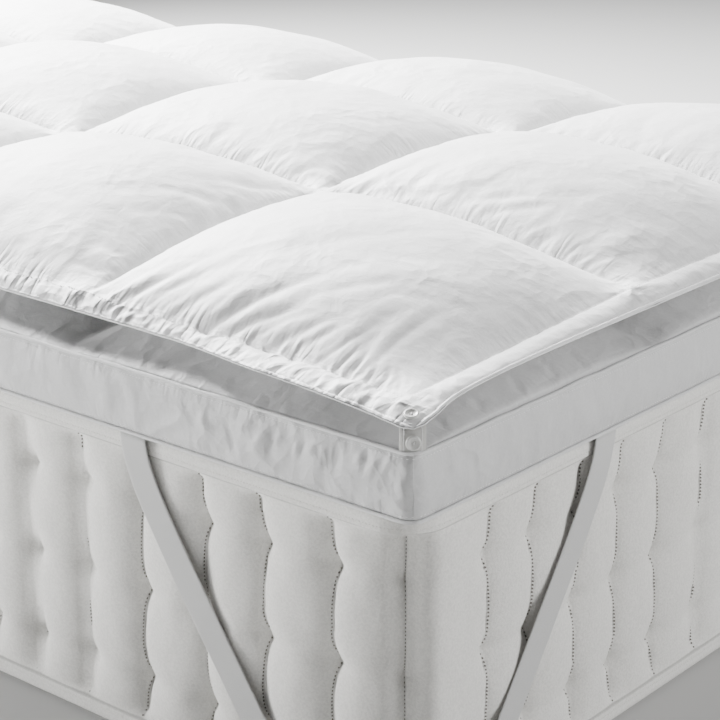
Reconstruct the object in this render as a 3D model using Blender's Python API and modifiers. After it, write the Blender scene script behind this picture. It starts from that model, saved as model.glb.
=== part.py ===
"""A two-layer mattress protector on the single mattress that it fits.

The mattress lies along X, 2.0 m by 0.9 m, and stands on the floor at z = 0. A lower pad with a
wall and two piped edges lies on it. A soft upper pad with a flat flange rests on the lower one.
Both are sewn in the same 6 by 3 boxes. At each corner a tape tab on the lower pad's piping holds
the flange, with one button on the tab and one on the flange, and a broad elastic strap runs from
the lower pad's hem down the mattress, under its corner and up again. Units are metres.
"""

import math

import bmesh
import bpy
import numpy as np
from mathutils import Vector

LENGTH = 2.0  # lower pad, from piping to piping
WIDTH = 0.9
HALF = (LENGTH / 2, WIDTH / 2)
GAP = 0.0003  # air between two pieces that touch

MATTRESS_HEIGHT = 0.270
MATTRESS_INSET = 0.004  # the pads overhang the mattress by this
MATTRESS_CORNER = 0.038  # radius of its upright corners
MATTRESS_EDGE = 0.008  # radius of its top and bottom edges

PAD_BASE = MATTRESS_HEIGHT + GAP
BOXES = (6, 3)
FLANGE = 0.028  # flat border outside the upper pad's outer seam
CORNER = 0.012  # radius of both pads' corners, seen from above
SHEET = 0.0016  # two layers of cloth, as in the flange and along the seams
STATIONS = (0.0, 0.08, 0.32, 0.68, 0.92)  # where a box is sampled, as fractions of its side
FULLNESS = 0.54  # below 1, a box rises steeply at its seams and is flat on top

WALL = 0.051  # lower pad, from piping to piping
WALL_RINGS = (  # height as a fraction of the wall, bulge outwards
    (0.72, 0.0058),
    (0.30, 0.0058),
    (0.00, 0.0),
)
RIM_INSET = 0.0023  # the lower pad's cloth stays this far inside its piping's centre
PIPING_RADIUS = 0.0015
LOWER_SEAM_LIFT = 0.024  # inner seams of the lower pad, above its upper piping
LOWER_CROWN = 0.026
UPPER_CROWN = 0.047
UPPER_SAG = 0.020  # how far the upper pad's boxes hang below their seams where nothing holds them

FLANGE_CORNER = 0.068  # flange height above the pad's base at the very corner
FLANGE_LIFT = 0.017  # how much higher the flange lies along the sides
FLANGE_REACH = (0.110, 0.050)  # distance over which it gets there, along X and along Y
SEAM_LIFT = 0.041  # inner seams, above the flange
SEAM_REACH = (0.110, 0.150)

TAB_HALF_WIDTH = 0.009
TAB_THICKNESS = 0.0012
TAB_CURVE = 0.0033  # the tab bends round the corner by this much at its sides
TAB_INSET = 0.0056  # from the sharp corner, along the diagonal, to the tab's middle surface
TAB_UNDER_FLANGE = 0.0012  # from the flange's underside to the tab's middle surface
TAB_ROWS = (  # inset beyond TAB_INSET, height as a fraction from piping to flange
    (0.0, 0.00),
    (0.0, 0.45),
    (0.0, 0.86),
    (0.0012, 0.96),
    (0.0035, 1.00),
    (0.0120, 1.00),
)

BUTTON_PROFILE = (  # radius, height above the button's back, from the rim's foot inwards
    (0.0, 0.0023),
    (0.0035, 0.0022),
    (0.0042, 0.0027),
    (0.0050, 0.0026),
    (0.0056, 0.0014),
    (0.0048, 0.0),
    (0.0, 0.0),
)
BUTTON_INSET = 0.012  # upper button's centre, from both edges of the flange
TAB_BUTTON_HEIGHT = 0.0595  # above the pad's base

STRAP_WIDTH = 0.027
STRAP_THICKNESS = 0.0013
STRAP_STARTS = (0.277, 0.238)  # distance of its ends from the corner, on the long side and the end
STRAP_SLOPE = 0.72  # sideways run for each metre down, once it slants
STRAP_HANG = 0.045  # it leaves its stitching upright over about this depth
STRAP_OFF_SIDE = 0.0004  # air between the strap and the mattress
STRAP_OFF_TOP = 0.0033  # the same where the strap is sewn to the hem
STRAP_FOLD = 0.006  # radius of its turn under the mattress
STRAP_UNDER = 0.0016  # height of its upper face under the mattress
STRAP_HANDLE = 0.040  # how far its directions at the folds are kept under the mattress
STRAP_SIDE_ROWS, STRAP_FOLD_ROWS, STRAP_UNDER_ROWS = 6, 4, 10

CORNERS = ((1, -1), (1, 1), (-1, 1), (-1, -1))  # signs of X and Y


def cleared_collection(name):
    """An empty scene with one new collection for the parts and one for the cutters."""
    for old in list(bpy.data.objects):
        bpy.data.objects.remove(old)
    made = []
    for title in (name, "cutters"):
        collection = bpy.data.collections.new(title)
        bpy.context.scene.collection.children.link(collection)
        made.append(collection)
    return made


def cloth(name, colour, roughness):
    material = bpy.data.materials.new(name)
    material.use_nodes = True
    shader = material.node_tree.nodes["Principled BSDF"]
    shader.inputs["Base Color"].default_value = (*colour, 1.0)
    shader.inputs["Roughness"].default_value = roughness
    return material


def placed(name, data, collection, material):
    data.materials.append(material)
    piece = bpy.data.objects.new(name, data)
    collection.objects.link(piece)
    return piece


def mesh_of(name, bm):
    """Turns the work mesh into mesh data that is shaded smooth up to 40 degrees."""
    mesh = bpy.data.meshes.new(name)
    bm.to_mesh(mesh)
    bm.free()
    mesh.shade_smooth()
    mesh.set_sharp_from_angle(angle=math.radians(40))
    return mesh


def add_grid(bm, points):
    """Adds a grid of triangles through an array of points (columns, rows, xyz)."""
    columns, rows, _ = points.shape
    made = bmesh.ops.create_grid(bm, x_segments=columns - 1, y_segments=rows - 1, size=1.0)
    for vertex in made["verts"]:
        column = round((vertex.co.x + 1) / 2 * (columns - 1))
        row = round((vertex.co.y + 1) / 2 * (rows - 1))
        vertex.co = points[column, row]
    faces = list({face for vertex in made["verts"] for face in vertex.link_faces})
    bmesh.ops.triangulate(bm, faces=faces, quad_method="FIXED")
    return made["verts"]


def rim_of(vertices):
    """The boundary edges that join these vertices."""
    return list({edge for vertex in vertices for edge in vertex.link_edges if edge.is_boundary})


def lines_across(axis):
    """The pads' grid lines along one axis: flange edge, corner arc, and the stations of each box."""
    half, boxes = HALF[axis], BOXES[axis]
    seams = np.linspace(FLANGE - half, half - FLANGE, boxes + 1)
    inside = seams[:-1, None] + np.diff(seams)[:, None] * np.array(STATIONS)
    return np.concatenate([[-half, CORNER - half], inside.ravel(), [seams[-1], half - CORNER, half]])


def seams_across(axis, outer):
    """Positions of the seams along one axis, with the outermost ones at the given inset."""
    half, boxes = HALF[axis], BOXES[axis]
    seams = np.linspace(FLANGE - half, half - FLANGE, boxes + 1)
    seams[0], seams[-1] = outer - half, half - outer
    return seams


def rounded_outline(x, y, inset):
    """Points outside the pad's outline, inset by this much, are drawn back to it."""
    x, y = (np.clip(value, inset - half, half - inset) for value, half in zip((x, y), HALF))
    past = [np.maximum(abs(value) - (half - CORNER), 0.0) for value, half in zip((x, y), HALF)]
    reach = np.hypot(*past)
    scale = np.where(reach > CORNER - inset, (CORNER - inset) / np.maximum(reach, 1e-9), 1.0)
    in_corner = (past[0] > 0) & (past[1] > 0)
    drawn = [
        np.where(in_corner, np.sign(value) * (half - CORNER + outside * scale), value)
        for value, outside, half in zip((x, y), past, HALF)
    ]
    return drawn[0], drawn[1]


def bulge(value, seams):
    """0 at each seam and 1 midway between two seams, on a parabola; 0 outside the last seam."""
    value = np.clip(value, seams[0], seams[-1])
    box = np.clip(np.searchsorted(seams, value, side="right") - 1, 0, len(seams) - 2)
    start, end = seams[box], seams[box + 1]
    return 4 * (value - start) * (end - value) / (end - start) ** 2


def between_seams(x, y, seams, levels):
    """Height of the straight-ruled patch that joins the levels of a box's four seam crossings."""
    along = np.array([[np.interp(a, seams[0], levels[:, j]) for j in range(len(seams[1]))]
                      for a in x.ravel()])
    result = [np.interp(b, seams[1], row) for b, row in zip(y.ravel(), along)]
    return np.array(result).reshape(x.shape)


def flange_level(x, y):
    """Middle height of the upper pad's flange and seam crossings, above the pad's base.

    It starts at the corner's height, rises exponentially along the edges to the flange's level,
    and rises again from the edges inwards to the level of the inner seams.
    """
    from_end, from_side = HALF[0] - abs(x), HALF[1] - abs(y)
    lift = 1 - np.exp(-from_end / FLANGE_REACH[0] - from_side / FLANGE_REACH[1])
    inward = (1 - np.exp(-from_end / SEAM_REACH[0])) * (1 - np.exp(-from_side / SEAM_REACH[1]))
    return FLANGE_CORNER + FLANGE_LIFT * lift + SEAM_LIFT * inward


def lower_top(x, y):
    """Height of the lower pad's upper face above its base: a full box between each two seams."""
    seams = [seams_across(axis, 0.0) for axis in (0, 1)]
    levels = np.zeros((len(seams[0]), len(seams[1])))
    levels[1:-1, 1:-1] = LOWER_SEAM_LIFT
    fullness = (bulge(x, seams[0]) * bulge(y, seams[1])) ** FULLNESS
    return WALL + between_seams(x, y, seams, levels) + LOWER_CROWN * fullness


def upper_faces(x, y):
    """Heights of the upper pad's top and underside above the pad's base.

    Inside the outer seam both leave the ruled patch between the seam crossings, the top by its
    crown and the underside by its sag, until it lies on the lower pad. The flange runs from the
    outer seam to the edge's own height.
    """
    seams = [seams_across(axis, FLANGE) for axis in (0, 1)]
    levels = flange_level(*np.meshgrid(*seams, indexing="ij"))
    x_in, y_in = (np.clip(value, line[0], line[-1]) for value, line in zip((x, y), seams))
    patch = between_seams(x_in, y_in, seams, levels)
    from_edge = np.minimum(HALF[0] - abs(x), HALF[1] - abs(y))
    share = np.clip(from_edge / FLANGE, 0, 1)
    outside = (abs(x) > seams[0][-1]) | (abs(y) > seams[1][-1])
    blended = flange_level(x, y) + share * (patch - flange_level(x_in, y_in))
    middle = np.where(outside, blended, patch)
    fullness = (bulge(x, seams[0]) * bulge(y, seams[1])) ** FULLNESS
    top = middle + SHEET / 2 + UPPER_CROWN * fullness
    free = middle - SHEET / 2 - UPPER_SAG * fullness
    return top, np.maximum(free, lower_top(x, y) + GAP)


def pad_grid(inset):
    """The X and Y of both pads' grid, drawn in to the rounded outline at this inset."""
    x, y = np.meshgrid(lines_across(0), lines_across(1), indexing="ij")
    return rounded_outline(x, y, inset)


def make_mattress(collection, material, cutters):
    bm = bmesh.new()
    size = [2 * (half - MATTRESS_INSET) for half in HALF] + [MATTRESS_HEIGHT]
    bmesh.ops.create_cube(bm, size=1.0)
    bmesh.ops.scale(bm, vec=size, verts=bm.verts)
    bmesh.ops.translate(bm, vec=(0, 0, MATTRESS_HEIGHT / 2), verts=bm.verts)
    upright = [edge for edge in bm.edges if abs(edge.verts[0].co.z - edge.verts[1].co.z) > 0.1]
    bmesh.ops.bevel(bm, geom=upright, offset=MATTRESS_CORNER, segments=6, profile=0.5,
                    affect="EDGES")
    level = [edge for edge in bm.edges if abs(edge.verts[0].co.z - edge.verts[1].co.z) < 0.1]
    bmesh.ops.bevel(bm, geom=level, offset=MATTRESS_EDGE, segments=3, profile=0.5, affect="EDGES")
    mattress = placed("mattress", mesh_of("mattress", bm), collection, material)
    for cutter in cutters:
        groove = mattress.modifiers.new(cutter.name, "BOOLEAN")
        groove.object = cutter
        groove.solver = "MANIFOLD"  # EXACT leaves hairline openings at the rounded edge
    return mattress


def make_lower_pad(collection, material):
    """The upper face is a grid; its rim goes down the wall in rings and is closed by a flat face.

    Each ring's vertex lies square outwards from the rim's nearest vertex, its foot.
    """
    bm = bmesh.new()
    x, y = pad_grid(RIM_INSET)
    points = np.stack([x, y, PAD_BASE + lower_top(*pad_grid(0.0))], axis=-1)
    rim = rim_of(add_grid(bm, points))
    start = {vertex: vertex.co.xy for edge in rim for vertex in edge.verts}
    core = Vector((HALF[0] - CORNER, HALF[1] - CORNER))
    for height, out in WALL_RINGS:
        made = bmesh.ops.extrude_edge_only(bm, edges=rim)["geom"]
        rim = [item for item in made if isinstance(item, bmesh.types.BMEdge) and item.is_boundary]
        for vertex in {vertex for edge in rim for vertex in edge.verts}:
            foot = min(start.values(), key=lambda point: (point - vertex.co.xy).length)
            past = Vector([math.copysign(max(abs(value) - limit, 0.0), value)
                           for value, limit in zip(foot, core)])
            side = foot + past.normalized() * out
            vertex.co = (side.x, side.y, PAD_BASE + WALL * height)
    bmesh.ops.edgeloop_fill(bm, edges=rim)
    bmesh.ops.recalc_face_normals(bm, faces=bm.faces)
    return placed("lower_pad", mesh_of("lower_pad", bm), collection, material)


def make_top_pad(collection, material):
    """Two grids, the crowned top and the underside that rests on the lower pad, joined at the edge."""
    bm = bmesh.new()
    x, y = pad_grid(0.0)
    rims = []
    for height in upper_faces(x, y):
        rims += rim_of(add_grid(bm, np.stack([x, y, PAD_BASE + height], axis=-1)))
    bmesh.ops.bridge_loops(bm, edges=rims)
    bmesh.ops.recalc_face_normals(bm, faces=bm.faces)
    return placed("top_pad", mesh_of("top_pad", bm), collection, material)


def make_piping(name, height, collection, material):
    """A cord round the pad: one closed curve with four round corners."""
    turn = np.linspace(0, math.pi / 2, 5)
    points = []
    for number in range(4):
        angle = turn + number * math.pi / 2
        centre = [math.copysign(half - CORNER, value) for half, value in
                  zip(HALF, (math.cos(angle[2]), math.sin(angle[2])))]
        points += [(centre[0] + CORNER * math.cos(a), centre[1] + CORNER * math.sin(a), height)
                   for a in angle]
    curve = bpy.data.curves.new(name, "CURVE")
    curve.dimensions = "3D"
    curve.bevel_depth = PIPING_RADIUS
    curve.bevel_resolution = 2
    spline = curve.splines.new("POLY")
    spline.points.add(len(points) - 1)
    for point, co in zip(spline.points, points):
        point.co = (*co, 1.0)
    spline.use_cyclic_u = True
    return placed(name, curve, collection, material)


def at_corner(corner, inset, across, height):
    """A point on the corner's diagonal, moved sideways by across; the height is above the base."""
    x = HALF[0] - (inset - across) / math.sqrt(2)
    y = HALF[1] - (inset + across) / math.sqrt(2)
    return Vector((corner[0] * x, corner[1] * y, PAD_BASE + height))


def make_tab(name, corner, collection, material):
    """A tape that stands on the piping, curves round the corner and turns in under the flange."""
    foot = WALL + PIPING_RADIUS + GAP
    sides = np.linspace(-1, 1, 5) * corner[0] * corner[1]
    points = np.zeros((len(sides), len(TAB_ROWS), 3))
    for column, side in enumerate(sides):
        for row, (inset, share) in enumerate(TAB_ROWS):
            point = at_corner(corner, TAB_INSET + inset + TAB_CURVE * side**2,
                              side * TAB_HALF_WIDTH, 0.0)
            under = flange_level(point.x, point.y) - SHEET / 2 - GAP - TAB_UNDER_FLANGE
            points[column, row] = (point.x, point.y, PAD_BASE + foot + (under - foot) * share)
    bm = bmesh.new()
    add_grid(bm, points)
    tab = placed(name, mesh_of(name, bm), collection, material)
    thickness = tab.modifiers.new("thickness", "SOLIDIFY")
    thickness.thickness = TAB_THICKNESS
    thickness.offset = 0.0
    return tab


def button_mesh(material):
    """The turned shape that all the buttons share; its back lies in the plane z = 0."""
    mesh = bpy.data.meshes.new("button")
    rows = [(radius, 0.0, height) for radius, height in BUTTON_PROFILE]
    mesh.from_pydata(rows, [(i, i + 1) for i in range(len(rows) - 1)], [])
    mesh.materials.append(material)
    return mesh


def make_button(name, mesh, place, facing, collection):
    button = bpy.data.objects.new(name, mesh)
    button.location = place
    button.rotation_mode = "QUATERNION"
    button.rotation_quaternion = Vector((0, 0, 1)).rotation_difference(facing)
    turned = button.modifiers.new("turned", "SCREW")
    turned.steps = turned.render_steps = 12
    turned.use_merge_vertices = True
    turned.merge_threshold = 0.00001
    collection.objects.link(button)
    return button


def make_buttons(number, corner, mesh, collection):
    """One button on the flange, square to its slope, and one on the tab below it."""
    x, y = (sign * (half - BUTTON_INSET) for sign, half in zip(corner, HALF))
    step = 0.001
    level = flange_level(x, y)
    slope = [(flange_level(x + step, y) - level) / step, (flange_level(x, y + step) - level) / step]
    facing = Vector((-slope[0], -slope[1], 1)).normalized()
    on_cloth = Vector((x, y, PAD_BASE + level + SHEET / 2)) + facing * GAP
    make_button(f"top_button_{number}", mesh, on_cloth, facing, collection)
    outward = Vector((*corner, 0)).normalized()
    front = TAB_INSET - TAB_THICKNESS / 2 - GAP
    on_tab = at_corner(corner, front, 0.0, TAB_BUTTON_HEIGHT)
    make_button(f"tab_button_{number}", mesh, on_tab, outward, collection)


def strap_side_rows(start):
    """Down one side: distance from the corner, distance off the mattress, and height, row by row."""
    top = PAD_BASE - PIPING_RADIUS - GAP
    bottom = STRAP_UNDER + STRAP_FOLD
    rows = []
    for share in np.linspace(0, 1, STRAP_SIDE_ROWS, endpoint=False):
        height = top + (bottom - top) * share
        off = STRAP_OFF_SIDE + (STRAP_OFF_TOP - STRAP_OFF_SIDE) * max(1 - 1.6 * share, 0) ** 2
        rows.append((start - strap_run(top - height), off, height))
    return rows


def strap_run(depth):
    """Sideways run of the strap at this depth: a hyperbola, upright at first and then slanting."""
    return STRAP_SLOPE * (math.hypot(depth, STRAP_HANG) - STRAP_HANG)


def strap_half(start, width):
    """Half a strap, row by row, from its stitching down one side to the end of its fold.

    Each row is a level line across the strap: its middle's distance from the corner and depth
    in from the mattress's side, its height, and half its length, which grows with the slant.
    """
    rows = []
    side = strap_side_rows(start)
    top = side[0][2]
    for place, off, height in side:
        slant = STRAP_SLOPE * (top - height) / math.hypot(top - height, STRAP_HANG)
        rows.append((place, -off, height, width / 2 * math.hypot(1, slant)))
    fold_top = STRAP_UNDER + STRAP_FOLD
    start_of_fold = start - strap_run(top - fold_top)
    for angle in np.linspace(0, math.pi / 2, STRAP_FOLD_ROWS + 1):
        place = start_of_fold - STRAP_SLOPE * STRAP_FOLD * angle
        depth = STRAP_FOLD * (1 - math.cos(angle)) - STRAP_OFF_SIDE
        height = fold_top - STRAP_FOLD * math.sin(angle)
        rows.append((place, depth, height, width / 2 * math.hypot(1, STRAP_SLOPE)))
    return rows


def strap_under_rows(first, last, width):
    """Under the corner: a cubic curve that keeps the directions of both folds.

    The line across the strap turns evenly from along the long side to along the end, and is
    longer where it isn't square to the curve. Each row is the line's middle and half the line.
    """
    direction = np.array([-STRAP_SLOPE, 1.0]) / math.hypot(1, STRAP_SLOPE)
    a, d = np.array([first[0], first[1]]), np.array([last[1], last[0]])
    b, c = a + STRAP_HANDLE * direction, d - STRAP_HANDLE * np.array([-direction[1], -direction[0]])
    rows = []
    for t in np.linspace(0, 1, STRAP_UNDER_ROWS + 1)[1:-1]:
        centre = a * (1 - t) ** 3 + 3 * b * t * (1 - t) ** 2 + 3 * c * t**2 * (1 - t) + d * t**3
        along = (b - a) * (1 - t) ** 2 + 2 * (c - b) * t * (1 - t) + (d - c) * t**2
        along /= np.linalg.norm(along)
        cross = np.array([math.cos(t * math.pi / 2), math.sin(t * math.pi / 2)])
        square = cross @ np.array([along[1], -along[0]])
        rows.append((centre, cross * width / 2 / square))
    return rows


def strap_points(corner, width, rows_left_out=0):
    """The strap's inner face as a grid of points, two to a row, for one corner."""
    long_side = strap_half(STRAP_STARTS[0], width)
    end = strap_half(STRAP_STARTS[1], width)
    rows = []
    for place, depth, height, reach in long_side[rows_left_out:]:
        rows.append([(place + sign * reach, MATTRESS_INSET + depth, height) for sign in (1, -1)])
    for centre, cross in strap_under_rows(long_side[-1], end[-1], width):
        rows.append([(*(centre + sign * cross), STRAP_UNDER) for sign in (1, -1)])
    for place, depth, height, reach in reversed(end[rows_left_out:]):
        rows.append([(MATTRESS_INSET + depth, place + sign * reach, height) for sign in (1, -1)])
    points = np.array(rows).transpose(1, 0, 2)
    for axis in (0, 1):
        points[:, :, axis] = corner[axis] * (HALF[axis] - points[:, :, axis])
    return points[::-1] if corner[0] * corner[1] < 0 else points


def add_strap_shell(name, points, thickness, offset, collection, material):
    """A strap's face made solid; offset 1 puts all the thickness outside the face."""
    bm = bmesh.new()
    add_grid(bm, points)
    strap = placed(name, mesh_of(name, bm), collection, material)
    shell = strap.modifiers.new("thickness", "SOLIDIFY")
    shell.thickness = thickness
    shell.offset = offset
    return strap


def make_groove_cutter(name, corner, collection, material):
    """The strap's run under the mattress, wider, deeper and 0.3 mm nearer to the mattress."""
    points = strap_points(corner, STRAP_WIDTH + 4 * GAP, STRAP_SIDE_ROWS)
    outside = 0.004
    thickness = outside + GAP
    cutter = add_strap_shell(name, points, thickness, 2 * outside / thickness - 1, collection,
                             material)
    cutter.hide_render = True
    cutter.display_type = "WIRE"
    return cutter


def main():
    parts, cutters = cleared_collection("mattress_protector")
    ticking = cloth("mattress ticking", (0.76, 0.74, 0.68), 0.85)
    feather_cloth = cloth("lower pad cotton", (0.78, 0.79, 0.80), 0.60)
    down_cloth = cloth("upper pad cotton", (0.86, 0.86, 0.86), 0.65)
    cord_cloth = cloth("piping cotton", (0.84, 0.84, 0.85), 0.60)
    tape = cloth("tab twill", (0.66, 0.65, 0.62), 0.80)
    elastic = cloth("elastic webbing", (0.74, 0.74, 0.74), 0.75)
    shell = cloth("button resin", (0.78, 0.78, 0.76), 0.35)

    grooves = [make_groove_cutter(f"groove_{number}", corner, cutters, elastic)
               for number, corner in enumerate(CORNERS, 1)]
    make_mattress(parts, ticking, grooves)
    make_lower_pad(parts, feather_cloth)
    make_piping("lower_pad_bottom_piping", PAD_BASE, parts, cord_cloth)
    make_piping("lower_pad_top_piping", PAD_BASE + WALL, parts, cord_cloth)
    make_top_pad(parts, down_cloth)
    button = button_mesh(shell)
    for number, corner in enumerate(CORNERS, 1):
        make_tab(f"corner_tab_{number}", corner, parts, tape)
        make_buttons(number, corner, button, parts)
        add_strap_shell(f"corner_strap_{number}", strap_points(corner, STRAP_WIDTH),
                        STRAP_THICKNESS, 1.0, parts, elastic)


main()
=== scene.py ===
"""Looks of a two-layer mattress protector on the single mattress that it fits.

Each part of the bed is a surface worked out with numpy: a height over a grid of lines, or a profile
carried round the bed's edge. Lengths are metres, apart from the tables of folds, which say
millimetres. "u" is the distance from the +X end, "v" the distance from the -Y side. The corner where
both are zero, called the near corner, is the one towards the camera.
"""

import math

import bpy
import numpy as np
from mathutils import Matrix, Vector


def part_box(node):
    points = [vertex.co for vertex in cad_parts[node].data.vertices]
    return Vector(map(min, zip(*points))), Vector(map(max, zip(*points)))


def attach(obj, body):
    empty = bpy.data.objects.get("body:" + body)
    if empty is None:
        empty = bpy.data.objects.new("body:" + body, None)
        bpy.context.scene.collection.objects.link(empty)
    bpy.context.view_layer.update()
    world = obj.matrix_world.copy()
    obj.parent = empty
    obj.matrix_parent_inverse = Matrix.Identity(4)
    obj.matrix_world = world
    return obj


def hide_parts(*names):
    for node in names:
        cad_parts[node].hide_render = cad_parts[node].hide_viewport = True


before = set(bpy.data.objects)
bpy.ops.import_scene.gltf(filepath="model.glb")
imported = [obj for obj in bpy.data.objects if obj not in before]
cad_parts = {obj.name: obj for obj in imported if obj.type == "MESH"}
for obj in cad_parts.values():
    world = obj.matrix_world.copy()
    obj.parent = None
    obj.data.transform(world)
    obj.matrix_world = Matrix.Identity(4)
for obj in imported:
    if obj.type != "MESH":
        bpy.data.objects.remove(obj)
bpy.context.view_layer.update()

bl_info = {
    "name": "Mattress protector",
    "version": (1, 0, 0),
    "blender": (4, 5, 0),
    "location": "3D View > Sidebar > Protector",
    "description": "Builds a buttoned two-layer mattress protector on its mattress",
    "category": "Object",
}

MM = 0.001


def middle(node, axis):
    """Halfway between a node's two sides along one axis."""
    low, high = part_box(node)
    return (low[axis] + high[axis]) / 2


# Sizes that the frame gives.
HALF = np.array([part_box("top_pad")[1][axis] for axis in (0, 1)])
PAD_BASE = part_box("lower_pad")[0][2]
WALL = middle("lower_pad_top_piping", 2) - PAD_BASE
PIPING_RADIUS = (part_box("lower_pad_top_piping")[1][2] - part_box("lower_pad_top_piping")[0][2]) / 2
MATTRESS_HALF = np.array([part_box("mattress")[1][axis] for axis in (0, 1)])
MATTRESS_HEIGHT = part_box("mattress")[1][2]

# The pads' shape, as the construction has it.
GAP = 0.0003
BOXES = (6, 3)
FLANGE = 0.028
CORNER = 0.012
SHEET = 0.0016
FULLNESS = 0.54
SOFTENING = 0.006  # takes the vertical start out of the crown at a seam
RIM_INSET = 0.0023
WALL_BULGE = 0.0058
LOWER_SEAM_LIFT, LOWER_CROWN = 0.024, 0.026
UPPER_CROWN, UPPER_SAG = 0.047, 0.020
FLANGE_CORNER, FLANGE_LIFT, FLANGE_REACH = 0.068, 0.017, (0.110, 0.050)
FLANGE_BOW = 0.0022
EDGE_STITCHES = 0.0030  # inset of the stitches along the flange's edge
WALL_STITCH_SHARES = (0.075, 0.915)  # from the upper piping, 0, to the lower one, 1
# How far the hanging flange's edge moves, inwards and down: along the long sides, and at the ends.
DROOP, END_DROOP = (0.0160, 0.0048), (0.0060, 0.0014)
SEAM_LIFT, SEAM_REACH = 0.041, (0.110, 0.150)
NEAR_BOX = (0.352, 0.309)  # the near box's inner seams, from the end and from the side

# Tape tabs, buttons and straps.
TAB_HALF_WIDTH, TAB_THICKNESS, TAB_CURVE = 0.009, 0.0012, 0.0033
TAB_INSET, TAB_UNDER_FLANGE = 0.0056, 0.0012
# Inset and share of its rise along a tab, whose length is measured with a rise of TAB_RISE.
TAB_ROWS = ((0.0, 0.00), (0.0, 0.45), (0.0, 0.86), (0.0012, 0.96), (0.0035, 1.00), (0.0120, 1.00))
TAB_RISE, STITCHED_ROWS = 0.016, 25
BUTTON_INSET, TAB_BUTTON_HEIGHT = 0.012, 0.0595
STRAP_WIDTH, STRAP_THICKNESS = 0.027, 0.0013
STRAP_STARTS = (0.277, 0.238)
STRAP_SLOPE, STRAP_HANG = 0.72, 0.045
STRAP_OFF_SIDE, STRAP_OFF_TOP = 0.0004, 0.0033
STRAP_FOLD, STRAP_UNDER, STRAP_HANDLE = 0.006, 0.0016, 0.040
STRAP_RUN = 0.177  # sideways, from the stitching to the fold under the mattress
CORNERS = ((1, -1), (1, 1), (-1, 1), (-1, -1))

# Mattress.
MATTRESS_CORNER, MATTRESS_EDGE = 0.038, 0.008
MATTRESS_CORE = MATTRESS_HALF - MATTRESS_CORNER
# Lengths of the wall from the middle of one corner to the middle of the next, and once round.
LONG_RUN, END_RUN = 2 * MATTRESS_CORE + math.pi / 2 * MATTRESS_CORNER
MATTRESS_ROUND = 2 * (LONG_RUN + END_RUN)
TAPE_HEIGHT = 0.0165
TAPE_STITCHES = (TAPE_HEIGHT - 0.0020, TAPE_HEIGHT - 0.0040)
TUFT_ROWS = (0.055, 0.132, 0.210)
TUFT_SPACING = 0.078
SEGMENT_DEPTH, SEGMENT_FULLNESS = 0.0125, 0.56
SEAM_BOW = 0.0055
CORNER_DENT, CORNER_DENT_WIDTHS = 0.0165, (0.048, 0.018)
# Seam positions along the wall from the corner, first on the long side and then on the end.
FIRST_SEAMS = ((0.0, 0.070, 0.138, 0.198, 0.269), (0.0, 0.086, 0.141, 0.201, 0.258))
UNDERSIDE = 0.0022  # height of the mattress's underside over a strap

# Folds of the upper pad, in millimetres. Each is a smooth arc through three points (u, v).
# A negative height is a trough.
UPPER_FOLDS = (
    # u0, v0, u1, v1, u2, v2, height, width
    (230, 24, 203, 49, 160, 102, -4.6, 6.5),
    (206, 26, 178, 47, 134, 80, -4.4, 5.5),
    (184, 27, 160, 49, 122, 84, -1.9, 5.0),
    (161, 26, 138, 51, 106, 92, -2.3, 5.5),
    (141, 26, 122, 52, 100, 88, -1.4, 3.6),
    (114, 26, 104, 50, 94, 82, -1.5, 3.0),
    (97, 26, 94, 43, 92, 62, -1.3, 2.2),
    (81, 25, 83, 42, 86, 62, -1.7, 2.3),
    (66, 25, 70, 42, 78, 60, -1.5, 2.2),
    (51, 26, 59, 44, 70, 60, -1.4, 2.2),
    (36, 28, 48, 44, 60, 56, -1.3, 2.2),
    (264, 22, 240, 53, 196, 94, -1.7, 6.0),
    (292, 22, 268, 60, 226, 110, -2.6, 8.0),
    (319, 24, 300, 50, 262, 92, -2.8, 6.5),
    (341, 26, 326, 53, 300, 84, -1.5, 5.5),
    (150, 78, 116, 120, 66, 170, -1.3, 10.0),
    (176, 92, 140, 150, 80, 214, -1.1, 13.0),
    (120, 96, 88, 128, 50, 158, -1.0, 8.0),
    (214, 104, 180, 168, 120, 244, -1.0, 14.0),
    (60, 300, 150, 288, 250, 296, -0.8, 6.0),
    (326, 318, 240, 332, 156, 384, -3.0, 7.0),
    (224, 328, 160, 360, 96, 418, -2.4, 6.0),
    (198, 318, 158, 342, 116, 372, -2.0, 5.0),
    (140, 312, 134, 322, 118, 340, 1.7, 3.6),
    (122, 312, 120, 322, 110, 334, -1.5, 3.4),
    (360, 296, 384, 240, 428, 176, -3.4, 8.0),
    (362, 236, 392, 205, 430, 166, -1.9, 5.0),
    (360, 208, 390, 184, 448, 136, -2.2, 6.5),
    (362, 170, 392, 136, 432, 98, -1.6, 7.0),
    (360, 90, 382, 76, 410, 70, -1.6, 5.0),
    (358, 60, 376, 52, 398, 50, -2.0, 4.0),
    (452, 311, 447, 322, 436, 336, -2.4, 4.0),
    (430, 312, 424, 326, 408, 342, -2.6, 4.4),
    (478, 313, 475, 324, 466, 336, -2.0, 4.0),
    (505, 313, 500, 325, 492, 334, -2.2, 4.0),
    (392, 314, 384, 330, 366, 344, -2.2, 4.4),
    (14, 20, 8, 25, 12, 32, 1.3, 2.0),
    (24, 13, 27, 8, 33, 12, 1.0, 2.2),
)
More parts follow.
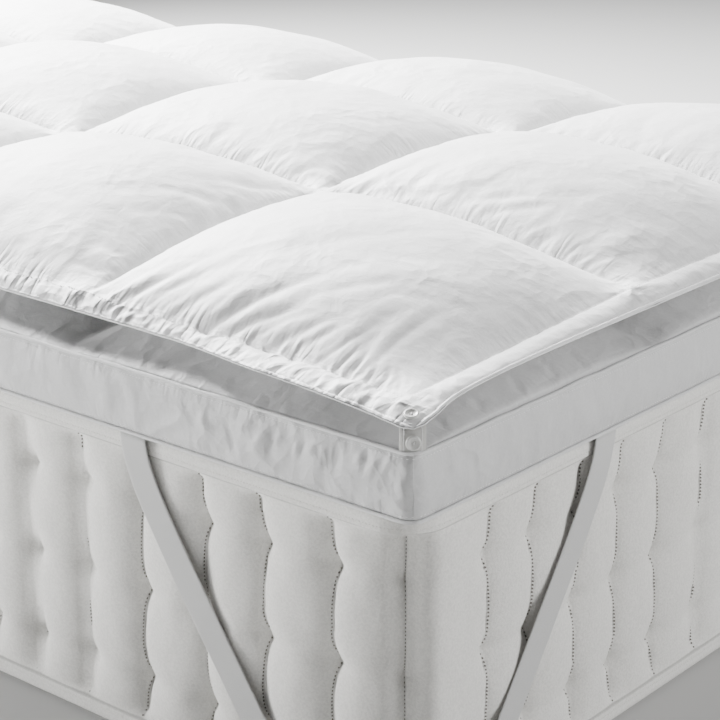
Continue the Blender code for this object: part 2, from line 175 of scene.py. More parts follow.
# Folds of the lower pad's wall, in millimetres: distance from the corner along the long side,
# positive, or along the end, negative, and height above the wall's foot.
WALL_FOLDS = (
    # s0, z0, s1, z1, s2, z2, height, width
    (262, 0, 238, 16, 202, 33, 1.7, 4.5),
    (252, 3, 228, 13, 196, 27, -1.1, 4.0),
    (200, 36, 196, 26, 191, 12, 1.3, 3.2),
    (178, 40, 167, 18, 170, 0, -1.8, 3.0),
    (160, 42, 158, 30, 160, 14, 1.3, 3.6),
    (129, 43, 140, 29, 150, 9, 2.3, 4.2),
    (119, 42, 123, 33, 129, 26, 1.7, 3.2),
    (124, 36, 132, 24, 140, 10, -1.4, 3.0),
    (101, 38, 105, 29, 107, 19, 1.7, 3.0),
    (94, 42, 99, 33, 101, 22, -1.5, 2.8),
    (84, 42, 90, 35, 97, 27, 2.0, 3.6),
    (86, 41, 79, 30, 96, 10, 2.1, 3.4),
    (70, 44, 66, 32, 74, 18, -1.6, 4.0),
    (45, 45, 47, 38, 52, 29, 2.1, 4.6),
    (38, 46, 42, 36, 44, 27, -1.6, 3.2),
    (29, 45, 35, 33, 40, 22, 1.3, 2.6),
    (20, 45, 23, 39, 27, 32, 2.3, 3.4),
    (16, 42, 13, 31, 27, 18, -2.4, 4.0),
    (14, 37, 10, 26, 6, 13, 1.7, 3.6),
    (30, 20, 44, 12, 66, 10, -1.0, 5.0),
    (12, 8, 9, 6, 6, 3, -1.4, 1.8),
    (-96, 16, -78, 10, -58, 5, -1.3, 6.0),
    (-58, 40, -52, 31, -44, 23, -1.0, 5.0),
    (-26, 44, -34, 30, -32, 14, -0.8, 6.0),
    (-150, 40, -132, 26, -118, 8, -0.9, 7.0),
)
# Folds of the lower pad's upper face where it shows under the flange, in millimetres.
SHELF_FOLDS = (
    # u0, v0, u1, v1, u2, v2, height, width
    (262, 4, 240, 20, 214, 36, -1.8, 6.0),
    (232, 4, 214, 18, 196, 30, 1.4, 6.0),
    (330, 6, 312, 20, 290, 38, -2.2, 6.0),
    (186, 6, 172, 16, 160, 26, -1.0, 6.0),
    (6, 84, 16, 92, 30, 96, -2.6, 3.4),
    (5, 130, 18, 140, 36, 142, -2.2, 3.8),
    (5, 176, 16, 182, 34, 190, -2.6, 3.4),
    (4, 212, 18, 216, 36, 214, -2.2, 3.2),
    (5, 46, 18, 50, 30, 56, -2.6, 3.8),
)


# ---------------------------------------------------------------- shared shapes


def gradient_noise(x, y, seed=0):
    """Smooth noise, about -1 to 1: each whole-number point of the plane has a slope of its own, taken
    from a hash, and the four nearest slopes are blended."""
    x, y = np.broadcast_arrays(np.asarray(x, float), np.asarray(y, float))
    ix, iy = np.floor(x).astype(np.int64), np.floor(y).astype(np.int64)
    fx, fy = x - ix, y - iy

    def slope(jx, jy):
        value = ((ix + jx) * 374761393 + (iy + jy) * 668265263 + seed * 974634777) & 0xFFFFFFFF
        value = ((value ^ (value >> 13)) * 1274126177) & 0xFFFFFFFF
        angle = (value ^ (value >> 16)) * (2 * math.pi / 2**32)
        return np.cos(angle) * (fx - jx) + np.sin(angle) * (fy - jy)

    a, b = (t**3 * (t * (6 * t - 15) + 10) for t in (fx, fy))
    low = slope(0, 0) * (1 - a) + slope(1, 0) * a
    high = slope(0, 1) * (1 - a) + slope(1, 1) * a
    return 1.5 * (low * (1 - b) + high * b)


def ramp(value, start, end):
    """0 before start, 1 after end, and a smooth step between them."""
    t = np.clip((value - start) / (end - start), 0, 1)
    return t * t * (3 - 2 * t)


def bell(value):
    """1 at 0, falling away on both sides: e to the power of minus the value's square."""
    return np.exp(-np.square(value))


def folds_at(a, b, folds):
    """Height of all folds of a table at the points (a, b), in metres.

    A fold follows the parabola through its three points. Across it, the height is a narrow bell with
    a pointed middle less a wider, lower one, so that the cloth beside a trough swells a little. It
    rises fast at its first end and dies away over the second half."""
    height = np.zeros(np.shape(a))
    t = np.linspace(0, 1, 41)
    for a0, b0, a1, b1, a2, b2, depth, width in folds:
        start, centre, end = (np.array(p) * MM for p in ((a0, b0), (a1, b1), (a2, b2)))
        control = 2 * centre - (start + end) / 2
        path = (np.outer((1 - t) ** 2, start) + np.outer(2 * t * (1 - t), control)
                + np.outer(t**2, end))
        reach = 5 * width * MM
        low, high = path.min(axis=0) - reach, path.max(axis=0) + reach
        near = (a > low[0]) & (a < high[0]) & (b > low[1]) & (b < high[1])
        if not near.any():
            continue
        squares = (a[near][:, None] - path[:, 0]) ** 2 + (b[near][:, None] - path[:, 1]) ** 2
        nearest = squares.argmin(axis=1)
        across = np.sqrt(squares.min(axis=1)) / (width * MM)
        fade = ramp(t[nearest], 0, 0.2) * (1 - ramp(t[nearest], 0.4, 1.0))
        pointed = np.exp(-((across**2 + 0.02) ** 0.7 - 0.0647))
        height[near] += depth * MM * fade * (pointed - 0.36 * bell(across / 2.2))
    return height


def mesh_piece(name, points, quads, triangles, material, body="root", uv=None, slot=None, worn=None):
    """A piece from vertices and faces. If its signed volume, the sum of the determinants of its
    triangles, is negative, all its faces are turned round, so that they point outwards."""
    quads = np.asarray(quads, np.int64).reshape(-1, 4)
    triangles = np.asarray(triangles, np.int64).reshape(-1, 3)
    halves = np.concatenate([quads[:, :3], quads[:, [0, 2, 3]], triangles])
    if np.linalg.det(points[halves] - points.mean(axis=0)).sum() < 0:
        quads, triangles = quads[:, ::-1], triangles[:, ::-1]
    mesh = bpy.data.meshes.new(name)
    corners = np.concatenate([quads.ravel(), triangles.ravel()]).astype(np.int32)
    sizes = np.repeat([4, 3], [len(quads), len(triangles)])
    mesh.vertices.add(len(points))
    mesh.vertices.foreach_set("co", np.asarray(points, np.float32).ravel())
    mesh.loops.add(len(corners))
    mesh.loops.foreach_set("vertex_index", corners)
    mesh.polygons.add(len(sizes))
    starts = np.concatenate([[0], np.cumsum(sizes)[:-1]]).astype(np.int32)
    mesh.polygons.foreach_set("loop_start", starts)
    mesh.update(calc_edges=True)
    if mesh.validate():
        raise RuntimeError(f"{name}: the mesh had faults")
    mesh.shade_smooth()
    if uv is not None:
        layer = mesh.uv_layers.new(name="cloth")
        layer.data.foreach_set("uv", np.asarray(uv, np.float32)[corners].ravel())
    if worn is not None:
        layer = mesh.attributes.new("crumple", "FLOAT_VECTOR", "POINT")
        layer.data.foreach_set("vector", np.asarray(worn, np.float32).ravel())
    mesh.materials.append(material)
    piece = bpy.data.objects.new(name, mesh)
    bpy.context.scene.collection.objects.link(piece)
    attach(piece, body)
    return piece


def capped_forms(name, forms, poles, material, slot):
    """Closed forms as one piece, from points (forms, around, rows, xyz): bands between the rows, and
    a fan from each end row to a pole."""
    count, around, rows = forms.shape[:3]
    index = np.arange(count * around * rows).reshape(count, around, rows)
    after = np.roll(index, -1, axis=1)
    quads = np.stack([index[..., :-1], after[..., :-1], after[..., 1:], index[..., 1:]], -1)
    first = np.broadcast_to(index.size + 2 * np.arange(count)[:, None], (count, around))
    fans = [np.stack([after[..., 0], index[..., 0], first], -1),
            np.stack([index[..., -1], after[..., -1], first + 1], -1)]
    points = np.concatenate([forms.reshape(-1, 3), np.reshape(poles, (-1, 3))])
    return mesh_piece(name, points, quads, np.concatenate(fans), material, slot=slot)


def rim_of(index):
    """A grid's outer indices, once round, anticlockwise from above."""
    return np.concatenate([index[:-1, 0], index[-1, :-1], index[:0:-1, -1], index[0, :0:-1]])


def grid_quads(index):
    """The faces of a grid of vertex numbers."""
    return np.stack([index[:-1, :-1], index[1:, :-1], index[1:, 1:], index[:-1, 1:]], -1).reshape(-1, 4)


def band_quads(upper, lower):
    """Quads between two closed loops of equal length, the upper one first."""
    after_upper, after_lower = np.roll(upper, -1), np.roll(lower, -1)
    return np.stack([after_upper, upper, lower, after_lower], -1)


def pad_mesh(name, top, rings, under, **options):
    """A closed pad: the top grid, rings of points down from its rim, and an underside grid that has
    every second line of the top one. The last ring and the underside's rim are zipped together with
    three triangles for each two of the ring's edges."""
    count = top.shape[0] * top.shape[1]
    top_index = np.arange(count).reshape(top.shape[:2])
    loop = rim_of(top_index)
    quads, parts = [grid_quads(top_index)], [top.reshape(-1, 3)]
    for ring in rings:
        index = count + np.arange(len(ring))
        quads.append(band_quads(loop, index))
        parts.append(ring)
        loop, count = index, count + len(ring)
    under_index = count + np.arange(under.shape[0] * under.shape[1]).reshape(under.shape[:2])
    parts.append(under.reshape(-1, 3))
    quads.append(grid_quads(under_index)[:, ::-1])
    coarse = rim_of(under_index)
    a, b = coarse, np.roll(coarse, -1)
    f0, f1, f2 = loop[0::2], loop[1::2], np.roll(loop, -2)[0::2]
    zipped = np.concatenate([np.stack(row, -1) for row in ((f1, f0, a), (f2, f1, b), (f1, a, b))])
    return mesh_piece(name, np.concatenate(parts), np.concatenate(quads), zipped, **options)


def tube_mesh(name, points, closed, **options):
    """A tube from rings of points (rings, around, xyz). An open tube's ends are filled by strips
    between opposite points, so a ring has an even number of points."""
    rings, around = points.shape[:2]
    index = np.arange(rings * around).reshape(rings, around)
    after = np.roll(index, -1, axis=0) if closed else index[1:]
    before = index if closed else index[:-1]
    quads = np.stack([before, after, np.roll(after, -1, 1), np.roll(before, -1, 1)], -1).reshape(-1, 4)
    if not closed:
        half = np.arange(around // 2 - 1)
        strip = np.stack([half, half + 1, around - 2 - half, around - 1 - half], -1)
        quads = np.concatenate([quads, index[0][strip], index[-1][strip][:, ::-1]])
    return mesh_piece(name, points.reshape(-1, 3), quads, [], **options)


def graded(*spans):
    """Grid lines from rows (end, pitch): each span from the last end is divided evenly, as near to
    its pitch as that allows. One more line is added if the number is even."""
    lines = [0.0]
    for end, pitch in spans:
        steps = max(round((end - lines[-1]) / pitch), 1)
        lines += list(np.linspace(lines[-1], end, steps + 1)[1:])
    if len(lines) % 2 == 0:
        lines.insert(-1, (lines[-2] + lines[-1]) / 2)
    return np.array(lines)


def from_edges(x, y):
    """Distances inwards from the nearer end and from the nearer long side of the pads."""
    return HALF[0] - abs(x), HALF[1] - abs(y)


def rounded_outline(x, y, inset):
    """Points outside the pads' outline, inset by this much, are drawn back to it."""
    x, y = (np.clip(value, inset - half, half - inset) for value, half in zip((x, y), HALF))
    past = [np.maximum(CORNER - inwards, 0.0) for inwards in from_edges(x, y)]
    reach = np.hypot(*past)
    scale = np.where(reach > CORNER - inset, (CORNER - inset) / np.maximum(reach, 1e-9), 1.0)
    in_corner = (past[0] > 0) & (past[1] > 0)
    drawn = [np.where(in_corner, np.sign(value) * (half - CORNER + outside * scale), value)
             for value, outside, half in zip((x, y), past, HALF)]
    return drawn[0], drawn[1]


def outward_at(x, y):
    """Unit vectors square to the pads' outline at points on or near it."""
    past = [np.sign(value) * np.maximum(CORNER - inwards, 0.0)
            for value, inwards in zip((x, y), from_edges(x, y))]
    return np.stack(past, -1) / np.maximum(np.hypot(*past), 1e-9)[..., None]


# ---------------------------------------------------------------- the pads' height


def seams_across(axis, outer):
    """Positions of the seams along one axis, with the outermost ones at the given inset."""
    half, boxes = HALF[axis], BOXES[axis]
    seams = np.linspace(FLANGE - half, half - FLANGE, boxes + 1)
    seams[0], seams[-1] = outer - half, half - outer
    return seams


UPPER_SEAMS = [seams_across(axis, FLANGE) for axis in (0, 1)]
LOWER_SEAMS = [seams_across(axis, 0.0) for axis in (0, 1)]


def box_at(value, seams):
    """Number of the box that each place lies in."""
    return np.clip(np.searchsorted(seams, value, side="right") - 1, 0, len(seams) - 2)


def bulge(value, seams):
    """0 at each seam and 1 midway between two seams, on a parabola; 0 outside the last seam."""
    value = np.clip(value, seams[0], seams[-1])
    start, end = seams[box_at(value, seams)], seams[box_at(value, seams) + 1]
    return 4 * (value - start) * (end - value) / (end - start) ** 2


def fullness_at(x, y):
    """Product of both bulges of the upper pad to the power FULLNESS, with its vertical start at the
    seams softened, and more so at the outer seams, where the cloth rises gently from the flange."""
    product = bulge(x, UPPER_SEAMS[0]) * bulge(y, UPPER_SEAMS[1])
    for value, seams, share, reach in zip((x, y), UPPER_SEAMS, (0.82, 0.60), (0.048, 0.028)):
        inside = np.maximum(seams[-1] - abs(value), 0)
        product = product * (1 - share * np.exp(-inside / reach))
    foot = SOFTENING**FULLNESS
    return ((product + SOFTENING) ** FULLNESS - foot) / ((1 + SOFTENING) ** FULLNESS - foot)


def between_seams(x, y, seams, levels):
    """Height of the straight-ruled patch that joins the levels of a box's four seam crossings."""
    i, j = box_at(x, seams[0]), box_at(y, seams[1])
    a = (x - seams[0][i]) / (seams[0][i + 1] - seams[0][i])
    b = (y - seams[1][j]) / (seams[1][j + 1] - seams[1][j])
    near = levels[i, j] * (1 - a) + levels[i + 1, j] * a
    far = levels[i, j + 1] * (1 - a) + levels[i + 1, j + 1] * a
    return near * (1 - b) + far * b


def flange_level(x, y):
    """Middle height of the upper pad's flange and seam crossings, above the pads' base: it rises
    exponentially along the edges from each corner, and again inwards to the inner seams."""
    from_end, from_side = from_edges(x, y)
    lift = 1 - np.exp(-from_end / FLANGE_REACH[0] - from_side / FLANGE_REACH[1])
    inward = (1 - np.exp(-from_end / SEAM_REACH[0])) * (1 - np.exp(-from_side / SEAM_REACH[1]))
    return FLANGE_CORNER + FLANGE_LIFT * lift + SEAM_LIFT * inward


def lower_top(x, y):
    """Height of the lower pad's upper face above its base: a full box between each two seams. It
    rises softly from the long sides and steeply from the ends."""
    levels = np.zeros((len(LOWER_SEAMS[0]), len(LOWER_SEAMS[1])))
    levels[1:-1, 1:-1] = LOWER_SEAM_LIFT
    from_end, from_side = (np.maximum(inwards, 0) for inwards in from_edges(x, y))
    eased = (1 - 0.75 * np.exp(-from_side / 0.035)) * (1 + 0.5 * np.exp(-from_end / 0.030))
    fullness = (bulge(x, LOWER_SEAMS[0]) * bulge(y, LOWER_SEAMS[1]) * eased) ** FULLNESS
    return WALL + between_seams(x, y, LOWER_SEAMS, levels) + LOWER_CROWN * fullness


def upper_middle(x, y):
    """Height between the upper pad's two faces: the ruled patches inside the outer seam, and the
    flange, which runs from that seam to the edge's own height and bows up near the corners."""
    levels = flange_level(*np.meshgrid(*UPPER_SEAMS, indexing="ij"))
    x_in, y_in = (np.clip(value, seams[0], seams[-1]) for value, seams in zip((x, y), UPPER_SEAMS))
    patch = between_seams(x_in, y_in, UPPER_SEAMS, levels)
    from_end, from_side = from_edges(x, y)
    share = np.clip(np.minimum(from_end, from_side) / FLANGE, 0, 1)
    outside = (abs(x) > UPPER_SEAMS[0][-1]) | (abs(y) > UPPER_SEAMS[1][-1])
    bowed = FLANGE_BOW * np.sin(math.pi * share) * (1 - 0.8 * ramp(from_end, 0.14, 0.25))
    flange = flange_level(x, y) + share * (patch - flange_level(x_in, y_in)) + bowed
    return np.where(outside, flange, patch)


# ---------------------------------------------------------------- gathers along the seams

GATHERS = (
    # wavelength, height, and distances from the seam where fullest and where gone, in millimetres
    (6.5, 0.8, 0, 13),
    (11, 1.2, 3, 30),
    (22, 1.7, 12, 62),
    (46, 1.9, 34, 120),
)
# How the folds lean by the nearest corner: distance from the end, and lean of a fold's line.
LEAN_AT = (30, 60, 88, 120, 180, 300, 352)
LEAN = (1.0, 0.6, 0.0, -0.4, -0.65, -0.6, -0.3)


def gathered(along, off, across, strength, lean, seed):
    """Height of a seam's gathers. along is the distance along the seam, off the signed distance from
    it, across the distance to the seams that cross it, and strength how full they are.

    It is a sum of four sizes of noise stretched square to the seam. The small ones are fullest at
    the stitches and the larger ones further in, as small gathers merge into larger folds. Each is
    mostly the noise's absolute value, which makes sharp valleys between round ridges."""
    distance = abs(off)
    place = along + lean * np.maximum(off, 0)
    height = np.zeros(np.shape(along))
    for level, (wave, high, fullest, gone) in enumerate(GATHERS):
        wave, high, fullest, gone = (value * MM for value in (wave, high, fullest, gone))
        weight = (0.2 + 0.8 * ramp(distance, -0.002, fullest)) if level else 1.0
        weight = weight * (1 - ramp(distance, max(0.8 * fullest, 0.25 * gone), gone))
        weight = weight * ramp(across, 0, 1.2 * wave)
        warp = 0.5 * gradient_noise(place / (2.4 * wave), off / (3 * wave), seed + 40 + level)
        noise = gradient_noise(place / wave + warp, off / (4.0 * wave), seed + level)
        patchy = np.clip(0.5 + gradient_noise(along / (4.5 * wave), 0.3, seed + 80), 0, 1.1)
        shape = 0.25 * noise + 1.35 * np.sqrt(noise**2 + 0.004) - 0.42
        height += high * weight * (0.25 + 1.1 * patchy) * shape
    return height * strength


def crumpled(along, across, seed):
    """Crisp creases of unfilled cloth, about -1 to 1: two sizes of ridged noise whose lines lean both
    ways, so that they meet in points."""
    total = 0.0
    for level, (wave, share) in enumerate(((0.0085, 0.45), (0.017, 0.75))):
        lean = 0.8 * gradient_noise(along / 0.045, 0.5, seed + 7 + level)
        noise = gradient_noise((along + lean * across) / wave, across / (2.6 * wave), seed + level)
        total = total + share * (1.7 * np.sqrt(noise**2 + 0.003) - 0.5)
    return total


def seam_distance(value, seams):
    """(index of the nearest seam, signed distance from it)."""
    nearest = abs(value[..., None] - seams).argmin(axis=-1)
    return nearest, value - seams[nearest]


def strength_at(nearest, off, along, axis):
    """How full the gathers are on each side of each seam of an axis, blended across the seam.

    The side seams are full and the end seams calm, and noise along the seam varies the rest. The two
    inner seams of the near box are calm on one side."""
    last = BOXES[axis]
    outer = (nearest == 0) | (nearest == last)
    varied = 0.95 + 0.7 * gradient_noise(along / 0.17, nearest * 3.7 + 9 * axis, 5)
    inside = ramp(np.where(nearest == last, -off, off), -0.006, 0.006)
    beyond = ramp(off, -0.006, 0.006)
    if axis == 1:
        side = np.where(outer, 0.72 + 0.28 * inside, varied)
        calm = (nearest == 1) & (along > HALF[0] - NEAR_BOX[0])
        return np.where(calm, 0.12 + 0.95 * beyond, side)
    side = np.where(outer, 0.30 + 0.05 * inside, varied)
    calm = (nearest == last - 1) & (along < NEAR_BOX[1] - HALF[1])
    return np.where(calm, 0.9 - 0.5 * beyond, side)


def upper_gathers(x, y):
    """Gathers along all the upper pad's seams. Those along the near seam lean as the table says."""
    nearest_x, off_x = seam_distance(x, UPPER_SEAMS[0])
    nearest_y, off_y = seam_distance(y, UPPER_SEAMS[1])
    last_x, last_y = BOXES
    from_near_end = HALF[0] - x
    lean_x = 0.6 * gradient_noise(y / 0.24, nearest_x * 3.3, 32)
    lean_y = np.where((nearest_y == 0) & (from_near_end < NEAR_BOX[0]),
                      np.interp(from_near_end / MM, LEAN_AT, LEAN),
                      0.6 * gradient_noise(x / 0.24, nearest_y * 2.3, 31))
    lean_y = np.where(nearest_y == last_y, -lean_y, lean_y)
    inward_x = np.where(nearest_x == last_x, -off_x, off_x)
    inward_y = np.where(nearest_y == last_y, -off_y, off_y)
    # On the flange no seam crosses, so the gathers stay full there.
    across_x = np.where(abs(x) > UPPER_SEAMS[0][-1], 0.02, abs(off_x))
    across_y = np.where(abs(y) > UPPER_SEAMS[1][-1], 0.02, abs(off_y))
    along_x = gathered(x, inward_y, across_x, strength_at(nearest_y, off_y, x, 1), lean_y, 100)
    along_y = gathered(y, inward_x, across_y, strength_at(nearest_x, off_x, y, 0), lean_x, 200)
    return along_x + along_y


def upper_relief(x, y):
    """All that lies on the upper pad's smooth form: lumps and streaks of down, gathers, the flange's
    crumples, main folds, the sunk stitch lines and the turned edge."""
    from_end, from_side = from_edges(x, y)
    edge = np.minimum(from_end, from_side)
    full = fullness_at(x, y)
    lumps = (2.6 * gradient_noise(x / 0.115 + 3.1, y / 0.095, 21)
             + 1.1 * gradient_noise(x / 0.05, y / 0.06, 22))
    bend = 1.5 * gradient_noise(x / 0.2, y / 0.1, 24)
    streaks = 0.28 * gradient_noise(x / 0.11, y / 0.011 + bend, 23)
    # The flange along the long sides is crumpled, and along the ends almost smooth.
    on_flange = ramp(FLANGE - edge, -0.002, 0.006)
    crisp = 2.6 * crumpled(x, from_side, 401) * (1 - ramp(from_side, 0.9 * FLANGE, 1.3 * FLANGE))
    crisp += 0.9 * crumpled(y, from_end, 402) * (1 - ramp(from_end, 0.9 * FLANGE, 1.2 * FLANGE))
    gather = upper_gathers(x, y) * (1 - 0.6 * on_flange) + MM * crisp * ramp(edge, -0.002, 0.009)
    folds = folds_at(HALF[0] - x, y + HALF[1], UPPER_FOLDS)
    off_x, off_y = (seam_distance(value, seams)[1] for value, seams in zip((x, y), UPPER_SEAMS))
    sunk = -0.4 * bell(np.minimum(abs(off_x), abs(off_y)) / 0.0013)
    turned = 0.75 * bell((edge - 0.0012) / 0.0011) - 0.55 * bell((edge - 0.0034) / 0.0008)
    return (MM * ((lumps + streaks) * full + sunk + turned) + gather * (1 - 0.6 * bell(edge / 0.002))
            + folds)


# ---------------------------------------------------------------- materials


def new_material(name, roughness, specular=0.3, sheen=0.0):
    """(material, its node tree, its shader) of a plain finish."""
    material = bpy.data.materials.new(name)
    material.use_nodes = True
    shader = material.node_tree.nodes["Principled BSDF"]
    shader.inputs["Roughness"].default_value = roughness
    shader.inputs["Specular IOR Level"].default_value = specular
    shader.inputs["Sheen Weight"].default_value = sheen
    shader.inputs["Sheen Roughness"].default_value = 0.4
    return material, material.node_tree, shader


def node(tree, kind, inputs=(), **settings):
    """Adds a shader node, sets its properties, and links or sets its inputs by name."""
    made = tree.nodes.new(kind)
    for key, value in settings.items():
        setattr(made, key, value)
    for key, value in dict(inputs).items():
        socket = made.inputs[key]
        if isinstance(value, bpy.types.NodeSocket):
            tree.links.new(value, socket)
        else:
            socket.default_value = value
    return made


def mapped(tree, source, scale, rotation=(0, 0, 0)):
    """Object coordinates, or the piece's own cloth UV map, through a Mapping node."""
    if source == "uv":
        vector = node(tree, "ShaderNodeUVMap", uv_map="cloth").outputs["UV"]
    else:
        vector = node(tree, "ShaderNodeTexCoord").outputs["Object"]
    return node(tree, "ShaderNodeMapping", {"Vector": vector, "Scale": scale,
                                            "Rotation": rotation}).outputs["Vector"]


def noise_node(tree, vector, scale, detail=2.0, roughness=0.5, distortion=0.0):
    """Noise from about 0.2 to 0.8."""
    return node(tree, "ShaderNodeTexNoise", {"Vector": vector, "Scale": scale, "Detail": detail,
                                             "Roughness": roughness,
                                             "Distortion": distortion}).outputs["Fac"]


def tinted(tree, factor, dark, light, low=0.3, high=0.7):
    """A two-colour ramp over the factor."""
    ramp_node = node(tree, "ShaderNodeValToRGB", {"Fac": factor})
    stops = ramp_node.color_ramp.elements
    stops[0].position, stops[1].position = low, high
    stops[0].color, stops[1].color = (*dark, 1), (*light, 1)
    return ramp_node.outputs["Color"]


def bumped(tree, shader, height, distance, strength=1.0, normal=None):
    """Lays a bump over the normal given, as the shader's normal, which it also returns."""
    inputs = {"Height": height, "Distance": distance, "Strength": strength}
    if normal is not None:
        inputs["Normal"] = normal
    bump = node(tree, "ShaderNodeBump", inputs)
    tree.links.new(bump.outputs["Normal"], shader.inputs["Normal"])
    return bump.outputs["Normal"]


def math_node(tree, operation, first, second=0.0):
    """Output of a Math node of one or two inputs."""
    return node(tree, "ShaderNodeMath", {0: first, 1: second}, operation=operation).outputs[0]


def off_from(tree, value, level):
    """Distance of a value from a level."""
    return math_node(tree, "ABSOLUTE", math_node(tree, "SUBTRACT", value, level))


def darker(colour, share):
    """A share of each of a colour's channels."""
    return tuple(channel * share for channel in colour)


def down_cotton(name, colour, roughness, crease_height, crumple_height):
    """Downproof cotton: a tight smooth weave, soft small creases, and faint lights and darks."""
    material, tree, shader = new_material(name, roughness, 0.25, 0.18)
    place = mapped(tree, "object", (1, 1, 1))
    threads = noise_node(tree, place, 520.0, 2.0, 0.6)
    colour_node = tinted(tree, threads, darker(colour, 0.94), colour, 0.36, 0.64)
    tree.links.new(colour_node, shader.inputs["Base Color"])
    rough = node(tree, "ShaderNodeMapRange", {"Value": noise_node(tree, place, 26.0, 2.0),
                                              "To Min": roughness - 0.06,
                                              "To Max": roughness + 0.06}).outputs["Result"]
    tree.links.new(rough, shader.inputs["Roughness"])
    creases = noise_node(tree, place, 60.0, 4.0, 0.55, 0.8)
    normal = bumped(tree, shader, creases, crease_height)
    # Small crumples, as full as the piece's own attribute says: puckers square to the seams along X
    # and to those along Y, and crumples that lie every way.
    amounts = node(tree, "ShaderNodeAttribute", attribute_name="crumple").outputs["Vector"]
    amounts = node(tree, "ShaderNodeSeparateXYZ", {"Vector": amounts}).outputs
    for amount, scale in ((amounts[0], (105, 22, 22)), (amounts[1], (22, 105, 22))):
        folded = noise_node(tree, mapped(tree, "object", scale), 1.0, 1.2, 0.5, 0.25)
        ridges = math_node(tree, "MULTIPLY", off_from(tree, folded, 0.5), amount)
        normal = bumped(tree, shader, ridges, crumple_height, 1.0, normal)
    # The crumples are flat facets: distance to the nearest of many scattered points.
    bent = noise_node(tree, mapped(tree, "object", (24, 24, 24)), 1.0, 1.0)
    bent = node(tree, "ShaderNodeVectorMath", {0: mapped(tree, "object", (38, 38, 38)), 1: bent},
                operation="ADD").outputs[0]
    facets = node(tree, "ShaderNodeTexVoronoi", {"Vector": bent, "Scale": 1.0, "Detail": 1.0,
                                                 "Roughness": 0.45}).outputs["Distance"]
    facets = math_node(tree, "MULTIPLY", facets, amounts[2])
    normal = bumped(tree, shader, facets, 1.1 * crumple_height, 1.0, normal)
    grain = noise_node(tree, place, 800.0, 2.0, 0.6)
    bumped(tree, shader, grain, 0.00012, 0.6, normal)
    return material


def ticking_cloth(name, colour):
    """The mattress's cover: a soft, slightly fleecy warm cloth, with painted shade under the tapes'
    edges.
    """
    material, tree, shader = new_material(name, 0.9, 0.15, 0.25)
    place = mapped(tree, "object", (1, 1, 1))
    nap = noise_node(tree, place, 480.0, 3.0, 0.7)
    speckled = tinted(tree, nap, darker(colour, 0.86), colour, 0.38, 0.62)
    # Painted shade: a dark line painted on the cloth under each tape's edge, where the cloth goes in
    # beneath it and shade falls.
    height = node(tree, "ShaderNodeSeparateXYZ", {"Vector": place}).outputs["Z"]
    from_middle = off_from(tree, height, MATTRESS_HEIGHT / 2)
    off = off_from(tree, from_middle, MATTRESS_HEIGHT / 2 - TAPE_HEIGHT - 0.0006)
    shade = node(tree, "ShaderNodeMapRange", {"Value": off, "From Min": 0.0003, "From Max": 0.0014,
                                              "To Min": 0.62, "To Max": 1.0}).outputs["Result"]
    painted_shade_colour = node(tree, "ShaderNodeVectorMath", {0: speckled, 3: shade}, operation="SCALE").outputs[0]
    tree.links.new(painted_shade_colour, shader.inputs["Base Color"])
    soft = noise_node(tree, place, 90.0, 3.0, 0.6)
    normal = bumped(tree, shader, soft, 0.0006, 0.6)
    bumped(tree, shader, nap, 0.0005, 0.8, normal)
    return material


def ribbed_cloth(name, colour, pitch, along, height, roughness=0.8):
    """Webbing or twill tape: ribs across the piece's own length, over a fine grain."""
    material, tree, shader = new_material(name, roughness, 0.2, 0.15)
    scale = (1 / pitch, 1 / (pitch * 6), 1) if along else (1 / (pitch * 6), 1 / pitch, 1)
    vector = mapped(tree, "uv", scale)
    ribs = node(tree, "ShaderNodeTexWave", {"Vector": vector, "Scale": 1.0, "Distortion": 0.5,
                                            "Detail": 1.0},
                wave_type="BANDS", bands_direction="X" if along else "Y").outputs["Fac"]
    tree.links.new(tinted(tree, ribs, darker(colour, 0.93), colour, 0.2, 0.8),
                   shader.inputs["Base Color"])
    normal = bumped(tree, shader, ribs, height)
    grain = noise_node(tree, mapped(tree, "uv", (1, 1, 1)), 1200.0, 2.0)
    bumped(tree, shader, grain, 0.00008, 0.5, normal)
    return material


def thread(name, colour):
    """Sewing thread: a faint twist."""
    material, tree, shader = new_material(name, 0.65, 0.3, 0.1)
    twist = noise_node(tree, mapped(tree, "object", (1, 1, 1)), 2600.0, 1.0)
    tree.links.new(tinted(tree, twist, darker(colour, 0.88), colour), shader.inputs["Base Color"])
    bumped(tree, shader, twist, 0.00006)
    return material


def resin(name, colour):
    """Moulded buttons: smooth, a little glossy, and faintly clouded."""
    material, tree, shader = new_material(name, 0.32, 0.5)
    clouds = noise_node(tree, mapped(tree, "object", (1, 1, 1)), 240.0, 3.0)
    tree.links.new(tinted(tree, clouds, darker(colour, 0.94), colour), shader.inputs["Base Color"])
    bumped(tree, shader, clouds, 0.00005)
    return material


# ---------------------------------------------------------------- settings


def colour_property(name, description, default):
    return bpy.props.FloatVectorProperty(name=name, description=description, default=default,
                                         subtype="COLOR", size=3, min=0.0, max=1.0)


def length_property(name, description, default):
    return bpy.props.FloatProperty(name=name, description=description, default=default, min=0.0,
                                   subtype="DISTANCE", unit="LENGTH")


def power_property(name, description, default):
    return bpy.props.FloatProperty(name=name, description=description, default=default, min=0.0,
                                   subtype="POWER", unit="POWER")


def angle_property(name, description, degrees):
    return bpy.props.FloatProperty(name=name, description=description, default=math.radians(degrees),
                                   subtype="ANGLE")


